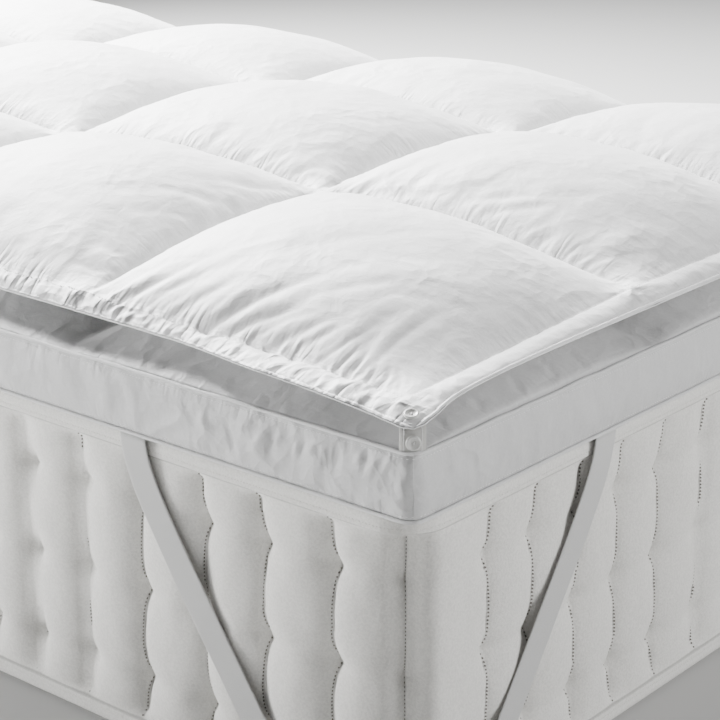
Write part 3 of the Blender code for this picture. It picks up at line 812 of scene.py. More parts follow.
class ProtectorColours(bpy.types.PropertyGroup):
    """Base colours of the finishes."""

    upper: colour_property("Upper pad", "Downproof cotton of the upper pad", (0.80, 0.80, 0.80))
    lower: colour_property("Lower pad", "Downproof cotton of the lower pad", (0.545, 0.545, 0.545))
    piping: colour_property("Piping", "Cotton piping of the lower pad", (0.74, 0.74, 0.74))
    mattress: colour_property("Mattress", "Ticking of the mattress", (0.74, 0.73, 0.70))
    tape: colour_property("Tape", "Tape along the mattress's edges", (0.80, 0.79, 0.75))
    tab: colour_property("Tab", "Twill tape of the corner tabs", (0.64, 0.635, 0.61))
    strap: colour_property("Strap", "Elastic webbing of the corner straps", (0.72, 0.72, 0.71))
    button: colour_property("Button", "Resin of the buttons", (0.62, 0.62, 0.60))
    thread: colour_property("Thread", "Sewing thread of the pads", (0.86, 0.86, 0.86))
    # The tufting thread's dark colour is partly the thread's own and partly painted shade of the needle
    # holes along the seams.
    tuft_thread_and_painted_hole_shade: colour_property("Tufting thread", "Thread of the mattress's seams", (0.20, 0.19, 0.17))
    floor: colour_property("Floor", "Studio floor", (0.50, 0.50, 0.495))


class ProtectorSizes(bpy.types.PropertyGroup):
    """Sizes that a user would change."""

    stitch_pitch: length_property("Stitch pitch", "Distance between the pads' stitches", 0.0032)
    tuft_pitch: length_property("Tufting pitch", "Distance between the mattress's stitches", 0.0031)
    cord_radius: length_property("Piping radius", "Radius of the piping cords", PIPING_RADIUS)
    segment_depth: length_property("Segment depth", "How deep the mattress's seams lie", SEGMENT_DEPTH)


class StudioSettings(bpy.types.PropertyGroup):
    """The camera and the lights."""

    lens: bpy.props.FloatProperty(name="Lens", description="Focal length", default=104.0, min=10.0,
                                  subtype="DISTANCE_CAMERA")
    azimuth: angle_property("Azimuth", "Camera's turn from the -Y side", 40.08)
    elevation: angle_property("Elevation", "Camera's height angle", 18.95)
    place: bpy.props.FloatVectorProperty(name="Camera", description="Camera's place",
                                         default=(1.8204, -1.4820, 0.8435), subtype="XYZ")
    key: power_property("Key light", "Power of the key light, above the far end", 830.0)
    side_key: power_property("Side light", "Power of the low light along the side", 135.0)
    fill: power_property("Fill light", "Power of the fill light past the near end", 275.0)
    sky: bpy.props.FloatProperty(name="Sky", description="Strength of the even light", default=0.14,
                                 min=0.0)


# ---------------------------------------------------------------- pads


def upper_lines():
    """The upper pad's grid lines along X and Y, closest by the near corner and at the seams."""
    edge = ((0.0004, 1), (0.0012, 0.0004), (0.0022, 0.0005), (0.0034, 0.0006), (0.0046, 0.0006))
    stitch = ((FLANGE - 0.0014, 0.0024), (FLANGE, 0.0014), (FLANGE + 0.0014, 0.0014))

    def seam(place, pitch):
        return ((place - 0.0016, pitch), (place, 0.0016), (place + 0.0016, 0.0016))

    def mirrored(whole, far):
        return tuple((whole - end, pitch) for end, pitch in
                     ((FLANGE + 0.0014, far), (FLANGE, 0.0014), (FLANGE - 0.0014, 0.0014),
                      (0.0046, 0.008), (0.0034, 0.0012), (0.0022, 0.0012), (0.0012, 0.001),
                      (0.0004, 0.0008), (0.0, 0.0004)))

    whole_x, whole_y = 2 * HALF
    box_x, box_y = (whole_x - 2 * FLANGE) / BOXES[0], (whole_y - 2 * FLANGE) / BOXES[1]
    far_seams = [row for box in (3, 4, 5) for row in seam(FLANGE + box * box_x, 0.014)]
    x = (*edge, *stitch, (0.115, 0.0015), *seam(FLANGE + box_x, 0.0022),
         *seam(FLANGE + 2 * box_x, 0.0052), *far_seams, *mirrored(whole_x, 0.014))
    y = (*edge, *stitch, (0.062, 0.0021), (0.13, 0.0034), (0.25, 0.0046), *seam(FLANGE + box_y, 0.0034),
         (FLANGE + box_y + 0.05, 0.0034), *seam(FLANGE + 2 * box_y, 0.0064), *mirrored(whole_y, 0.0105))
    return HALF[0] - graded(*x)[::-1], graded(*y) - HALF[1]


def crumple_amounts(x, y):
    """How full the upper pad's finest creases are: puckers by the seams along X, puckers by the seams
    along Y, and crumples of every direction, which also lie where two seams cross."""
    amounts, crossing = [], 1.0
    for axis, along, value in ((1, x, y), (0, y, x)):
        nearest, off = seam_distance(value, UPPER_SEAMS[axis])
        patchy = 0.35 + 0.9 * ramp(gradient_noise(along / 0.035, nearest * 2.9, 411 + axis), -0.4, 0.5)
        outer = (nearest == 0) | (nearest == BOXES[axis])
        inside = bell(off / np.where(outer, 0.013, 0.019)) * patchy
        on_flange = ramp(FLANGE - (HALF[axis] - abs(value)), -0.003, 0.002)
        flange = (1.1 if axis else 0.6) * (0.35 + 0.65 * patchy)
        mixed = 0.75 * inside * (1 - on_flange) + flange * on_flange
        amounts.append(strength_at(nearest, off, along, axis) * mixed)
        crossing = crossing * bell(off / 0.02)
    side = ramp(FLANGE - (HALF[1] - abs(y)), -0.003, 0.002)
    lumpy = 0.10 + 0.16 * ramp(gradient_noise(x / 0.09, y / 0.08, 413), -0.2, 0.5)
    amounts.append(np.clip(lumpy + 0.7 * crossing + 0.45 * side, 0, 1))
    return np.stack([part.ravel() for part in amounts], -1)


def drooped(x, y, height):
    """The flange hangs, except at the stiffer corners: its edge moves inwards and down in proportion
    to its distance from the stitch line."""
    from_end, from_side = from_edges(x, y)
    side = np.clip(1 - from_side / FLANGE, 0, 1) * ramp(from_end, 0.14, 0.25)
    end = np.clip(1 - from_end / FLANGE, 0, 1) * ramp(from_side, 0.018, 0.060)
    down = DROOP[1] * side + END_DROOP[1] * end
    return x - np.sign(x) * END_DROOP[0] * end, y - np.sign(y) * DROOP[0] * side, height - down


def upper_faces(x, y):
    """Heights of the upper pad's two faces above the pads' base.

    Top: middle + half the cloth + crown x fullness + relief. Underside: middle - half the cloth - sag
    x fullness, but no lower than the lower pad. The flange's relief shows on both."""
    fullness, middle_height, relief = fullness_at(x, y), upper_middle(x, y), upper_relief(x, y)
    top = middle_height + SHEET / 2 + UPPER_CROWN * fullness + relief
    sag = middle_height - SHEET / 2 - UPPER_SAG * fullness
    on_flange = 1 - ramp(np.minimum(*from_edges(x, y)), 0.8 * FLANGE, FLANGE)
    under = np.maximum(sag, lower_top(x, y) + 4 * GAP) + 0.7 * on_flange * relief
    return top, np.minimum(under, top - 0.6 * SHEET)


def make_upper_pad(material):
    """A crowned top over a sagging underside, joined by a narrow rounded edge."""
    x, y = rounded_outline(*np.meshgrid(*upper_lines(), indexing="ij"), 0.0)
    top, under = (np.stack(drooped(x, y, PAD_BASE + face), -1) for face in upper_faces(x, y))
    loop = rim_of(np.arange(x.size).reshape(x.shape))
    rim, rim_under = top.reshape(-1, 3)[loop], under.reshape(-1, 3)[loop]
    out = outward_at(rim[:, 0], rim[:, 1])
    rings = []
    for share in (0.25, 0.75):
        ring = rim * (1 - share) + rim_under * share
        ring[:, :2] += out * 0.0005
        rings.append(ring)
    under = under[::2, ::2]
    worn = np.zeros((x.size + len(rings) * len(loop) + under[..., 0].size, 3))
    worn[:x.size] = crumple_amounts(x, y)
    piece = pad_mesh("upper_pad_cover", top, rings, under, material=material, worn=worn,
                     slot="upper_pad_cotton")
    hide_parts("top_pad")
    return piece


def wall_place(x, y):
    """Where points lie round the lower pad, for its folds and noise: the distance from the near corner
    along the long side, and minus the distance along the near end. The other sides go on from there."""
    u, v = HALF[0] - x, y + HALF[1]
    far_end, far_side = 2 * HALF[0] + v, 3 * HALF.sum() - x
    place = np.where(x < CORNER - HALF[0], far_end, far_side)
    place = np.where(u < CORNER, -v, place)
    return np.where((v < CORNER) & (u >= v), u, place)


def lower_relief(x, y):
    """Lumps, small gathers by the piping and the soft folds that show under the flange."""
    from_end, from_side = from_edges(x, y)
    edge = np.minimum(from_end, from_side)
    along = np.where(from_side < from_end, x, y)
    shown = 1 - ramp(edge, 0.05, 0.10)
    strength = (0.20 + 0.45 * ramp(gradient_noise(along / 0.16, 1.5, 61), -0.2, 0.4)) * shown
    by_piping = ramp(edge, 0.002, 0.006)
    small = gathered(along, edge, np.full(x.shape, 1.0), strength, 0.2, 300) * by_piping
    soft = 1.3 * MM * gradient_noise(x / 0.07, y / 0.06, 62) * shown * ramp(edge, 0.004, 0.02)
    return small * 0.5 + soft + folds_at(HALF[0] - x, y + HALF[1], SHELF_FOLDS) * by_piping


def wall_out(place, share):
    """How far the lower pad's wall stands out beyond its rim: a bulge between the two pipings, which
    are share 0 and 1, with folds that die away at both. Slanted noise makes the small creases, and
    the near corner, which has folds of its own, takes less of it."""
    height = WALL * (1 - share)
    arch = np.sin(math.pi * np.clip(share, 0, 1))
    folds = folds_at(place, height, WALL_FOLDS)
    slanted = place + 0.55 * gradient_noise(place / 0.11, height / 0.05, 71) * height
    busy = 0.35 + 0.65 * ramp(gradient_noise(place / 0.19, 0.5, 72), -0.15, 0.35)
    busy = np.where((place > -0.28) & (place < 0.27), 0.45, busy)
    creases = (1.5 * gradient_noise(slanted / 0.019, height / 0.06, 73)
               + 0.8 * gradient_noise(slanted / 0.009, height / 0.035, 74)) * MM
    return WALL_BULGE * arch**0.55 + arch**0.7 * (1.6 * folds + creases * busy)


def wall_crumples(place, share, out):
    """How full the finest creases are on the lower pad's wall: puckers beside both pipings, and
    crumples that gather at the near corner."""
    by_seams = 0.55 * np.maximum(bell(share / 0.2), bell((1 - share) / 0.2))
    near_corner = ramp(place, -0.30, -0.02) * (1 - ramp(place, 0.13, 0.26))
    crumples = 0.25 + 0.6 * near_corner * np.where(place < 0, 0.7, 1.0)
    return np.stack([by_seams * abs(out[:, 1]), by_seams * abs(out[:, 0]), crumples], -1)


# Where the wall's rings lie between the upper piping, 0, and the lower one, 1.
WALL_SHARES = np.concatenate([[0.02, 0.05], np.linspace(0.09, 0.91, 15), [0.95, 0.98, 1.0]])


def make_lower_pad(material):
    """Top: seam patches + crown + relief. Wall: the rim carried down in rings, pushed out by the
    bulge and the wall's folds. Underside: flat on the mattress."""
    whole_x, whole_y = 2 * HALF
    lines_x = graded((0.003, 0.0015), (0.30, 0.0027), (0.36, 0.005), (whole_x - 0.1, 0.0125),
                     (whole_x - 0.003, 0.009), (whole_x, 0.0015))
    lines_y = graded((0.003, 0.0015), (0.30, 0.0032), (whole_y - 0.1, 0.0115),
                     (whole_y - 0.003, 0.009), (whole_y, 0.0015))
    grid = np.meshgrid(HALF[0] - lines_x[::-1], lines_y - HALF[1], indexing="ij")
    x, y = rounded_outline(*grid, RIM_INSET)
    outer_x, outer_y = rounded_outline(*grid, 0.0)
    top = np.stack([x, y, PAD_BASE + lower_top(outer_x, outer_y) + lower_relief(outer_x, outer_y)], -1)
    loop = rim_of(np.arange(x.size).reshape(x.shape))
    rim = top.reshape(-1, 3)[loop]
    rim_x, rim_y = outer_x.ravel()[loop], outer_y.ravel()[loop]
    out, place = outward_at(rim_x, rim_y), wall_place(rim_x, rim_y)
    rings = []
    for share in WALL_SHARES:
        ring = rim.copy()
        ring[:, :2] += out * wall_out(place, np.full(place.shape, share))[:, None]
        ring[:, 2] = PAD_BASE + WALL * (1 - share)
        rings.append(ring)
    under = np.stack([x, y, np.full(x.shape, PAD_BASE)], -1)[::2, ::2]
    by_edge = 0.5 * bell(np.minimum(*from_edges(x, y)).ravel() / 0.012)
    worn = np.concatenate([np.stack([by_edge, by_edge, np.full(x.size, 0.3)], -1),
                           *(wall_crumples(place, share, out) for share in WALL_SHARES),
                           np.zeros((under[..., 0].size, 3))])
    piece = pad_mesh("lower_pad_cover", top, rings, under, material=material, worn=worn,
                     slot="lower_pad_cotton")
    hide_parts("lower_pad")
    return piece


def round_length(core, radius):
    """Length once round a rounded rectangle, whose corners' centres are core from its middle."""
    return 4 * core.sum() + 2 * math.pi * radius


def outline_at(place, core, radius):
    """(points, outward) at distances round a rounded rectangle, from the middle of the near corner's
    arc along the long side, the far end, the other long side and the near end."""
    arc = math.pi / 2 * radius
    place = np.mod(place, round_length(core, radius))
    points, outward = np.zeros((*place.shape, 2)), np.zeros((*place.shape, 2))
    # Each stage: its kind and length, then an arc's centre and first angle, or a side's start and way.
    first, *centres = ((core[0], -core[1]), (-core[0], -core[1]), (-core[0], core[1]),
                       (core[0], core[1]), (core[0], -core[1]))
    stages = [("arc", arc / 2, first, -math.pi / 4)]
    for side, begin, centre in zip(((-1, 0), (0, 1), (1, 0), (0, -1)), (first, *centres), centres):
        stages.append(("side", 2 * core[0] if side[0] else 2 * core[1], begin, side))
        first_angle = math.atan2(-side[0], side[1]) + math.pi
        stages.append(("arc", arc if centre != first else arc / 2, centre, first_angle))
    start = 0.0
    for kind, length, base, turn in stages:
        here = (place >= start) & (place <= start + length)
        run = place[here] - start
        if kind == "arc":
            angle = turn - run / max(radius, 1e-9)
            outward[here] = np.stack([np.cos(angle), np.sin(angle)], -1)
            points[here] = np.array(base) + radius * outward[here]
        else:
            outward[here] = (-turn[1], turn[0])
            points[here] = np.array(base) + radius * outward[here] + np.outer(run, turn)
        start += length
    return points, outward


def places_round(total, near_length, near_pitch, far_pitch):
    """Distances once round an outline, close together on both sides of the near corner."""
    near = np.arange(0, near_length, near_pitch)
    far = np.linspace(near_length, total - near_length, round((total - 2 * near_length) / far_pitch))
    return np.concatenate([near, far, total - near[:0:-1]])


def pad_outline(inset, near_pitch, far_pitch):
    """(points, outward, place) once round the pads' outline, drawn in by an inset."""
    core, radius = HALF - CORNER, CORNER - inset
    place = places_round(round_length(core, radius), 0.34, near_pitch, far_pitch)
    return (*outline_at(place, core, radius), place)


PIPING_SIDES = 10


def make_pipings(material, radius):
    """A covered cord along the wall's upper and lower edge, a little uneven where it is sewn: circles
    square to the outline, centre + radius (cosine x outward + sine x up)."""
    angle = np.arange(PIPING_SIDES) * 2 * math.pi / PIPING_SIDES
    for number, (name, node_name, uneven, rise) in enumerate((
            ("lower_pad_upper_cord", "lower_pad_top_piping", 0.0009, 1.0),
            ("lower_pad_lower_cord", "lower_pad_bottom_piping", 0.0005, -0.4))):
        points, outward, place = pad_outline(0.0, 0.0028, 0.011)
        wander = uneven * gradient_noise(place / 0.045, 0.5, 91 + number)
        push = 0.5 * uneven * gradient_noise(place / 0.03, 0.5, 95 + number)
        radii = radius * (1 + 0.10 * gradient_noise(place / 0.012, 0.5, 97))
        height = middle(node_name, 2) + np.abs(wander) * rise
        centre = points + outward * push[:, None]
        flat = centre[:, None, :] + (radii[:, None] * np.cos(angle))[..., None] * outward[:, None, :]
        up = height[:, None] + radii[:, None] * np.sin(angle)
        rings = np.concatenate([flat, up[..., None]], -1)
        uv = np.stack([np.repeat(place, PIPING_SIDES), np.tile(angle * radius, len(place))], -1)
        piece = tube_mesh(name, rings, True, material=material, uv=uv, slot="piping_cotton")
        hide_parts(node_name)


# ---------------------------------------------------------------- mattress


def seam_places():
    """Places of the mattress's seams round its wall, from the near corner both ways: measured ones
    first, and then evenly as far as the next corner, where there is always one."""

    def whole(first, length, count):
        rest = np.linspace(first[-1], length, count + 1)[1:]
        rest[:-1] += 0.003 * np.sin(np.arange(count - 1) * 2.4)
        return np.concatenate([first, rest])

    long_row, end_row = whole(FIRST_SEAMS[0], LONG_RUN, 27), whole(FIRST_SEAMS[1], END_RUN, 10)
    # Long side, far end, other long side, near end; the near end's run back from the near corner.
    rows = [long_row, LONG_RUN + end_row, LONG_RUN + END_RUN + long_row, MATTRESS_ROUND - end_row[::-1]]
    return np.unique(np.round(np.concatenate(rows), 6))


TUFT_SEAMS = seam_places()


def strap_clearance(place):
    """How far the mattress's lower edge is raised where the straps turn under it."""
    corners = np.array([0, LONG_RUN, LONG_RUN + END_RUN, 2 * LONG_RUN + END_RUN, MATTRESS_ROUND])
    lift = np.zeros(place.shape)
    for number, corner in enumerate(corners):
        for direction in (1, -1):
            on_long_side = (number % 2 == 0) == (direction == 1)
            crossing = corner + direction * (STRAP_STARTS[0 if on_long_side else 1] - STRAP_RUN)
            lift = np.maximum(lift, 1 - ramp(abs(place - crossing), 0.022, 0.030))
    return UNDERSIDE * lift


def make_mattress(material, depth):
    """Columns of points from the underside up the wall to the top. The wall's segments lie inwards by
    depth x (1 - (4 t (1 - t)) to the power SEGMENT_FULLNESS), t running from one seam to the next.
    The seams bow away from the near corner between the tufted rows, and a flat tape runs along both
    edges, which are quarter circles."""
    place = places_round(MATTRESS_ROUND, 0.33, 0.0024, 0.0085)
    points, outward = outline_at(place, MATTRESS_CORE, MATTRESS_CORNER)
    taped = np.concatenate([np.linspace(MATTRESS_EDGE, TAPE_HEIGHT - 0.0012, 4),
                            TAPE_HEIGHT + np.array([-0.0004, 0.0004, 0.0016])])
    tufted = np.linspace(TAPE_HEIGHT + 0.004, MATTRESS_HEIGHT - TAPE_HEIGHT - 0.004, 66)
    levels = np.concatenate([taped, tufted, MATTRESS_HEIGHT - taped[::-1]])
    s, z = np.meshgrid(place, levels, indexing="ij")
    inwards = segment_depth(s, z, depth)
    turn = np.linspace(0, math.pi / 2, 5)[1:]
    rounding, lift = MATTRESS_EDGE * (1 - np.cos(turn)), MATTRESS_EDGE * (1 - np.sin(turn))

    def column_part(inset, height):
        """Points (places, levels) drawn in from the outline."""
        flat = points[:, None, :] - outward[:, None, :] * inset[..., None]
        return np.concatenate([flat, np.broadcast_to(height, inset.shape)[..., None]], -1)

    inner = np.full((len(place), 1), 0.030)
    raised = np.maximum(lift[::-1], strap_clearance(place)[:, None])
    columns = np.concatenate([
        column_part(inner, UNDERSIDE), column_part(rounding[::-1] + inwards[:, :1], raised),
        column_part(inwards, z), column_part(rounding + inwards[:, -1:], MATTRESS_HEIGHT - lift),
        column_part(inner, MATTRESS_HEIGHT)], axis=1)
    poles = [[0, 0, UNDERSIDE], [0, 0, MATTRESS_HEIGHT]]
    piece = capped_forms("mattress_cover", columns[None], poles, material, "mattress_ticking")
    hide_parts("mattress")
    return piece


def bow_at(z):
    """Share of the seams' bow at a height: none at each tufted row, and full just above it."""
    rows = np.array([-0.02, *TUFT_ROWS, 0.29])
    between = np.clip(np.searchsorted(rows, z, side="right") - 1, 0, len(rows) - 2)
    t = (z - rows[between]) / (rows[between + 1] - rows[between])
    return np.sin(math.pi * np.clip(t, 0, 1) ** 0.75) ** 0.6


def signed_place(s):
    """Place round the mattress from the near corner: positive on the long side, negative on the end."""
    return np.where(s > MATTRESS_ROUND / 2, s - MATTRESS_ROUND, s)


def near_sign(s):
    """1 along the long side by the near corner, -1 along the near end, and 0 at the corner itself."""
    return np.tanh(signed_place(s) / 0.03)


def seam_line(place, z):
    """Where a seam runs at a height: its place, bowed away from the near corner."""
    varied = 1 + 0.45 * gradient_noise(place * 31.7, np.floor(z / TUFT_SPACING), 51)
    return place + SEAM_BOW * near_sign(place) * bow_at(z) * varied


def segment_at(s, z):
    """(segment's number, its first seam's place, share of the way across it, its width) at points of
    the wall. The bow of its two seams is taken off in three rounds."""
    ends = np.concatenate([TUFT_SEAMS[-3:] - MATTRESS_ROUND, TUFT_SEAMS,
                           TUFT_SEAMS[:3] + MATTRESS_ROUND])

    def between_ends(place):
        k = np.clip(np.searchsorted(ends, place) - 1, 0, len(ends) - 2)
        return k, np.clip((place - ends[k]) / (ends[k + 1] - ends[k]), 0, 1)

    k, t = between_ends(s)
    for _ in range(3):
        left, right = (seam_line(seam, z) - seam
                       for seam in np.mod((ends[k], ends[k + 1]), MATTRESS_ROUND))
        k, t = between_ends(s - (left * (1 - t) + right * t))
    return k, ends[k], t, ends[k + 1] - ends[k]


def segment_depth(s, z, depth):
    """How far the wall's cloth lies inside its outermost face."""
    k, seam, t, width = segment_at(s, z)
    full = (4 * t * (1 - t) + 0.002) ** SEGMENT_FULLNESS
    off_seam = np.minimum(t, 1 - t) * width
    row = np.abs(z[..., None] - np.array(TUFT_ROWS)).min(axis=-1)
    deeper = 1 + 0.30 * bell(row / 0.010) + 0.15 * gradient_noise(seam * 17.3, z / 0.06, 55)
    valley = depth * deeper * (1 - np.clip(full, 0, 1))
    # The crease at a tuft runs from the seam into the segment on its far side from the near corner.
    away = np.where(near_sign(s) > 0, t, 1 - t) * width
    length = 0.024 * (1 + 0.6 * gradient_noise(k * 5.3 + 0.5, np.floor(z / TUFT_SPACING) + 0.5, 52))
    rise = row - 0.0015 * gradient_noise(s / 0.02, k * 1.7, 56)
    pinch = 0.0036 * np.exp(-np.sqrt((rise / 0.0045) ** 2 + 0.02)) * bell(away / length)
    pinch += 0.0016 * bell(row / 0.006) * bell(off_seam / 0.009)
    waist = 0.0014 * bell(row / 0.020) * bell(off_seam / 0.03)
    soft = (0.0010 * gradient_noise(s / 0.045, z / 0.05, 53)
            + 0.0005 * gradient_noise(s / 0.018, z / 0.03, 54))
    # The near corner is soft: the long side turns into it over a wide curve, the end over a short one.
    signed = signed_place(s)
    valley = valley * np.where(signed < 0, 0.6, 1.0) * (1 - 0.6 * bell(signed / 0.018))
    valley = valley + CORNER_DENT * bell(signed / np.where(signed > 0, *CORNER_DENT_WIDTHS))
    # The cloth goes in under the tapes' edges, and the tapes are drawn in along their stitches.
    below = np.minimum(z, MATTRESS_HEIGHT - z) - TAPE_HEIGHT
    free = ramp(below, 0, 0.009) * 0.9 + 0.1 * ramp(below, 0, 0.001)
    step = 0.0016 * ramp(below, -0.0005, 0.0005) * (1 - 0.6 * ramp(below, 0.001, 0.009))
    stitched = 0.0004 * bell((below + 0.0024) / 0.0012)
    return 0.0004 + step + stitched + free * (valley + pinch + waist + soft)


# ---------------------------------------------------------------- straps, tabs and buttons


# Columns across a strip, from -1 to 1, close together at its selvedges so that its faces shade flat.
STRIP_COLUMNS = np.array([-1, -0.985, -0.95, -0.90, -0.6, -0.3, 0, 0.3, 0.6, 0.90, 0.95, 0.985, 1])


def strip_normals(points, outside):
    """Unit normals of a grid of points, from its two directions' differences, on the side where the
    direction called outside points."""
    normal = np.cross(np.gradient(points, axis=0), np.gradient(points, axis=1))
    normal = normal / np.linalg.norm(normal, axis=-1, keepdims=True)
    return normal * np.sign((normal[4, 5] * outside).sum())


def strap_run(depth):
    """Sideways run of the strap at this depth: a hyperbola, upright at first and then slanting."""
    return STRAP_SLOPE * (np.hypot(depth, STRAP_HANG) - STRAP_HANG)


def strap_half(start, side_rows, fold_rows):
    """(place, depth in, height, half its level line) from the stitching down one side and through
    the fold under the mattress."""
    top = PAD_BASE - PIPING_RADIUS - GAP
    bottom = STRAP_UNDER + STRAP_FOLD
    share = np.linspace(0, 1, side_rows, endpoint=False)
    height = top + (bottom - top) * share
    off = STRAP_OFF_SIDE + (STRAP_OFF_TOP - STRAP_OFF_SIDE) * np.maximum(1 - 1.6 * share, 0) ** 2
    slant = STRAP_SLOPE * (top - height) / np.hypot(top - height, STRAP_HANG)
    side = np.stack([start - strap_run(top - height), -off, height,
                     STRAP_WIDTH / 2 * np.hypot(1, slant)], -1)
    angle = np.linspace(0, math.pi / 2, fold_rows + 1)
    start_of_fold = start - strap_run(top - bottom)
    fold = np.stack([start_of_fold - STRAP_SLOPE * STRAP_FOLD * angle,
                     STRAP_FOLD * (1 - np.cos(angle)) - STRAP_OFF_SIDE,
                     bottom - STRAP_FOLD * np.sin(angle),
                     np.full(angle.shape, STRAP_WIDTH / 2 * math.hypot(1, STRAP_SLOPE))], -1)
    return np.concatenate([side, fold])


def strap_surface(corner, side_rows=56, fold_rows=8, under_rows=32):
    """A strap's inner face: down one side, under the corner on a cubic curve, and up the other."""
    across, columns = -STRIP_COLUMNS, len(STRIP_COLUMNS)
    inset = HALF[0] - MATTRESS_HALF[0]
    halves = [strap_half(start, side_rows, fold_rows) for start in STRAP_STARTS]

    def down_side(rows, order):
        """Points of one side. The order says whether the place is along X or along Y."""
        level = rows[:, :1] + across * rows[:, 3:]
        depth, height = (np.repeat(part, columns, 1) for part in (inset + rows[:, 1:2], rows[:, 2:3]))
        return np.stack([*(level, depth)[::order], height], -1)

    first, last = halves[0][-1], halves[1][-1]
    direction = np.array([-STRAP_SLOPE, 1.0]) / math.hypot(1, STRAP_SLOPE)
    a, d = np.array([first[0], inset + first[1]]), np.array([inset + last[1], last[0]])
    b, c = a + STRAP_HANDLE * direction, d + STRAP_HANDLE * direction[::-1]
    t = np.linspace(0, 1, under_rows + 1)[1:-1, None]
    centre = a * (1 - t) ** 3 + 3 * b * t * (1 - t) ** 2 + 3 * c * t**2 * (1 - t) + d * t**3
    along = (b - a) * (1 - t) ** 2 + 2 * (c - b) * t * (1 - t) + (d - c) * t**2
    along /= np.linalg.norm(along, axis=1, keepdims=True)
    cross = np.concatenate([np.cos(t * math.pi / 2), np.sin(t * math.pi / 2)], 1)
    square = (cross * np.stack([along[:, 1], -along[:, 0]], -1)).sum(axis=1, keepdims=True)
    reach = cross * STRAP_WIDTH / 2 / square
    flat = centre[:, None, :] + across[None, :, None] * reach[:, None, :]
    under = np.concatenate([flat, np.full((*flat.shape[:2], 1), STRAP_UNDER)], -1)
    points = np.concatenate([down_side(halves[0], 1), under, down_side(halves[1][::-1], -1)])
    for axis in (0, 1):
        points[..., axis] = corner[axis] * (HALF[axis] - points[..., axis])
    return points


def ruled_uv(inner, rings):
    """UV in metres for a strip's rings: distance along its middle, and across it."""
    middle_line = inner[:, inner.shape[1] // 2]
    run = np.concatenate([[0], np.cumsum(np.linalg.norm(np.diff(middle_line, axis=0), axis=1))])
    across = np.linspace(0, 1, inner.shape[1]) * np.linalg.norm(inner[0, 0] - inner[0, -1])
    around = np.concatenate([across, across[::-1]])
    return np.stack([np.repeat(around[None], len(run), 0), np.repeat(run[:, None], len(around), 1)],
                    -1).reshape(-1, 2), run[-1]


def strip_rings(inner, outer):
    """Rings round a flat strip, along its inner face and back along its outer face."""
    return np.concatenate([inner, outer[:, ::-1]], axis=1)


def make_straps(material):
    """An elastic strap at each corner, under tension and so flat, with thinner selvedges."""
    thick = STRAP_THICKNESS * (1 - 0.3 * ramp(abs(STRIP_COLUMNS), 0.93, 1.0))
    for number, corner in enumerate(CORNERS, 1):
        inner = strap_surface(corner)
        normal = strip_normals(inner, (0, corner[1], 0))
        rings = strip_rings(inner, inner + normal * thick[None, :, None])
        uv, length = ruled_uv(inner, rings)
        piece = tube_mesh(f"elastic_strap_{number}", rings, False, material=material, uv=uv,
                          slot="elastic_webbing")
        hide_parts(f"corner_strap_{number}")


def at_corner(corner, inset, across, height):
    """Points on the corner's diagonal, moved sideways by across; heights are above the pads' base."""
    x = corner[0] * (HALF[0] - (inset - across) / math.sqrt(2))
    y = corner[1] * (HALF[1] - (inset + across) / math.sqrt(2))
    return np.stack(np.broadcast_arrays(x, y, PAD_BASE + height), -1)


def tab_surface(corner, columns=13, rows=40):
    """The tab's middle face: a tape that stands on the piping, curves round the corner and turns in
    under the flange. Its rows are evenly spaced along the line through the table's rows."""
    side = np.linspace(-1, 1, columns)[None, :] * corner[0] * corner[1]
    table = np.array(TAB_ROWS)
    steps = np.hypot(np.diff(table[:, 0]), TAB_RISE * np.diff(table[:, 1]))
    stations = np.concatenate([[0], np.cumsum(steps)])
    t = np.linspace(0, stations[-1], rows)
    inset, share = (np.interp(t, stations, table[:, k])[:, None] for k in (0, 1))
    flat = at_corner(corner, TAB_INSET + inset + TAB_CURVE * side**2, side * TAB_HALF_WIDTH, 0.0)
    foot = WALL + PIPING_RADIUS + GAP
    under = flange_level(flat[..., 0], flat[..., 1]) - SHEET / 2 - GAP - TAB_UNDER_FLANGE
    flat[..., 2] = PAD_BASE + foot + (under - foot) * share
    return flat


def make_tabs(material, thread_material):
    """A twill tape tab at each corner, thicker along both sides where its edges are turned in, and a
    row of stitches along each of them."""
    rows = []
    across = abs(np.linspace(-1, 1, 13))
    turned_in = 0.38 * ramp(across, 0.62, 0.72) - 0.25 * bell((across - 0.74) / 0.06)
    thick = TAB_THICKNESS * (0.62 + turned_in)
    for number, corner in enumerate(CORNERS, 1):
        face = tab_surface(corner, len(thick))
        normal = strip_normals(face, (*corner, 0))
        half = normal * (thick / 2)[None, :, None]
        inner, outer = face - half, face + half
        for column in (2, len(thick) - 3):
            line = outer[:STITCHED_ROWS + 1, column]
            rows.append((line[:-1], np.diff(line, axis=0), normal[:STITCHED_ROWS, column]))
        rings = strip_rings(inner, outer)
        uv, length = ruled_uv(inner, rings)
        piece = tube_mesh(f"twill_tab_{number}", rings, False, material=material, uv=uv,
                          slot="tab_twill")
        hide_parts(f"corner_tab_{number}")
    centres, along, up = (np.concatenate([row[k] for row in rows]) for k in range(3))
    stitch_mesh("tab_stitches", centres, along, up, 0.0019, 0.00034, thread_material, "tab_twill")


BUTTON_RINGS = (  # radius and height above the back, from the middle of the front to the back
    (0.0006, 0.0016), (0.0012, 0.0016), (0.0018, 0.00162), (0.0024, 0.00168), (0.0030, 0.0018),
    (0.0036, 0.0021), (0.0041, 0.00255), (0.0045, 0.0027), (0.0049, 0.00262), (0.0053, 0.0022),
    (0.00555, 0.0016), (0.0055, 0.0010), (0.0050, 0.0004), (0.0046, 0.0), (0.0020, 0.0),
)
DISH = 5  # rows of the table that make the front's sunk middle, which is drawn with finer rings
HOLE_SPREAD, HOLE_RADIUS, HOLE_DEPTH = 0.00125, 0.00048, 0.0011


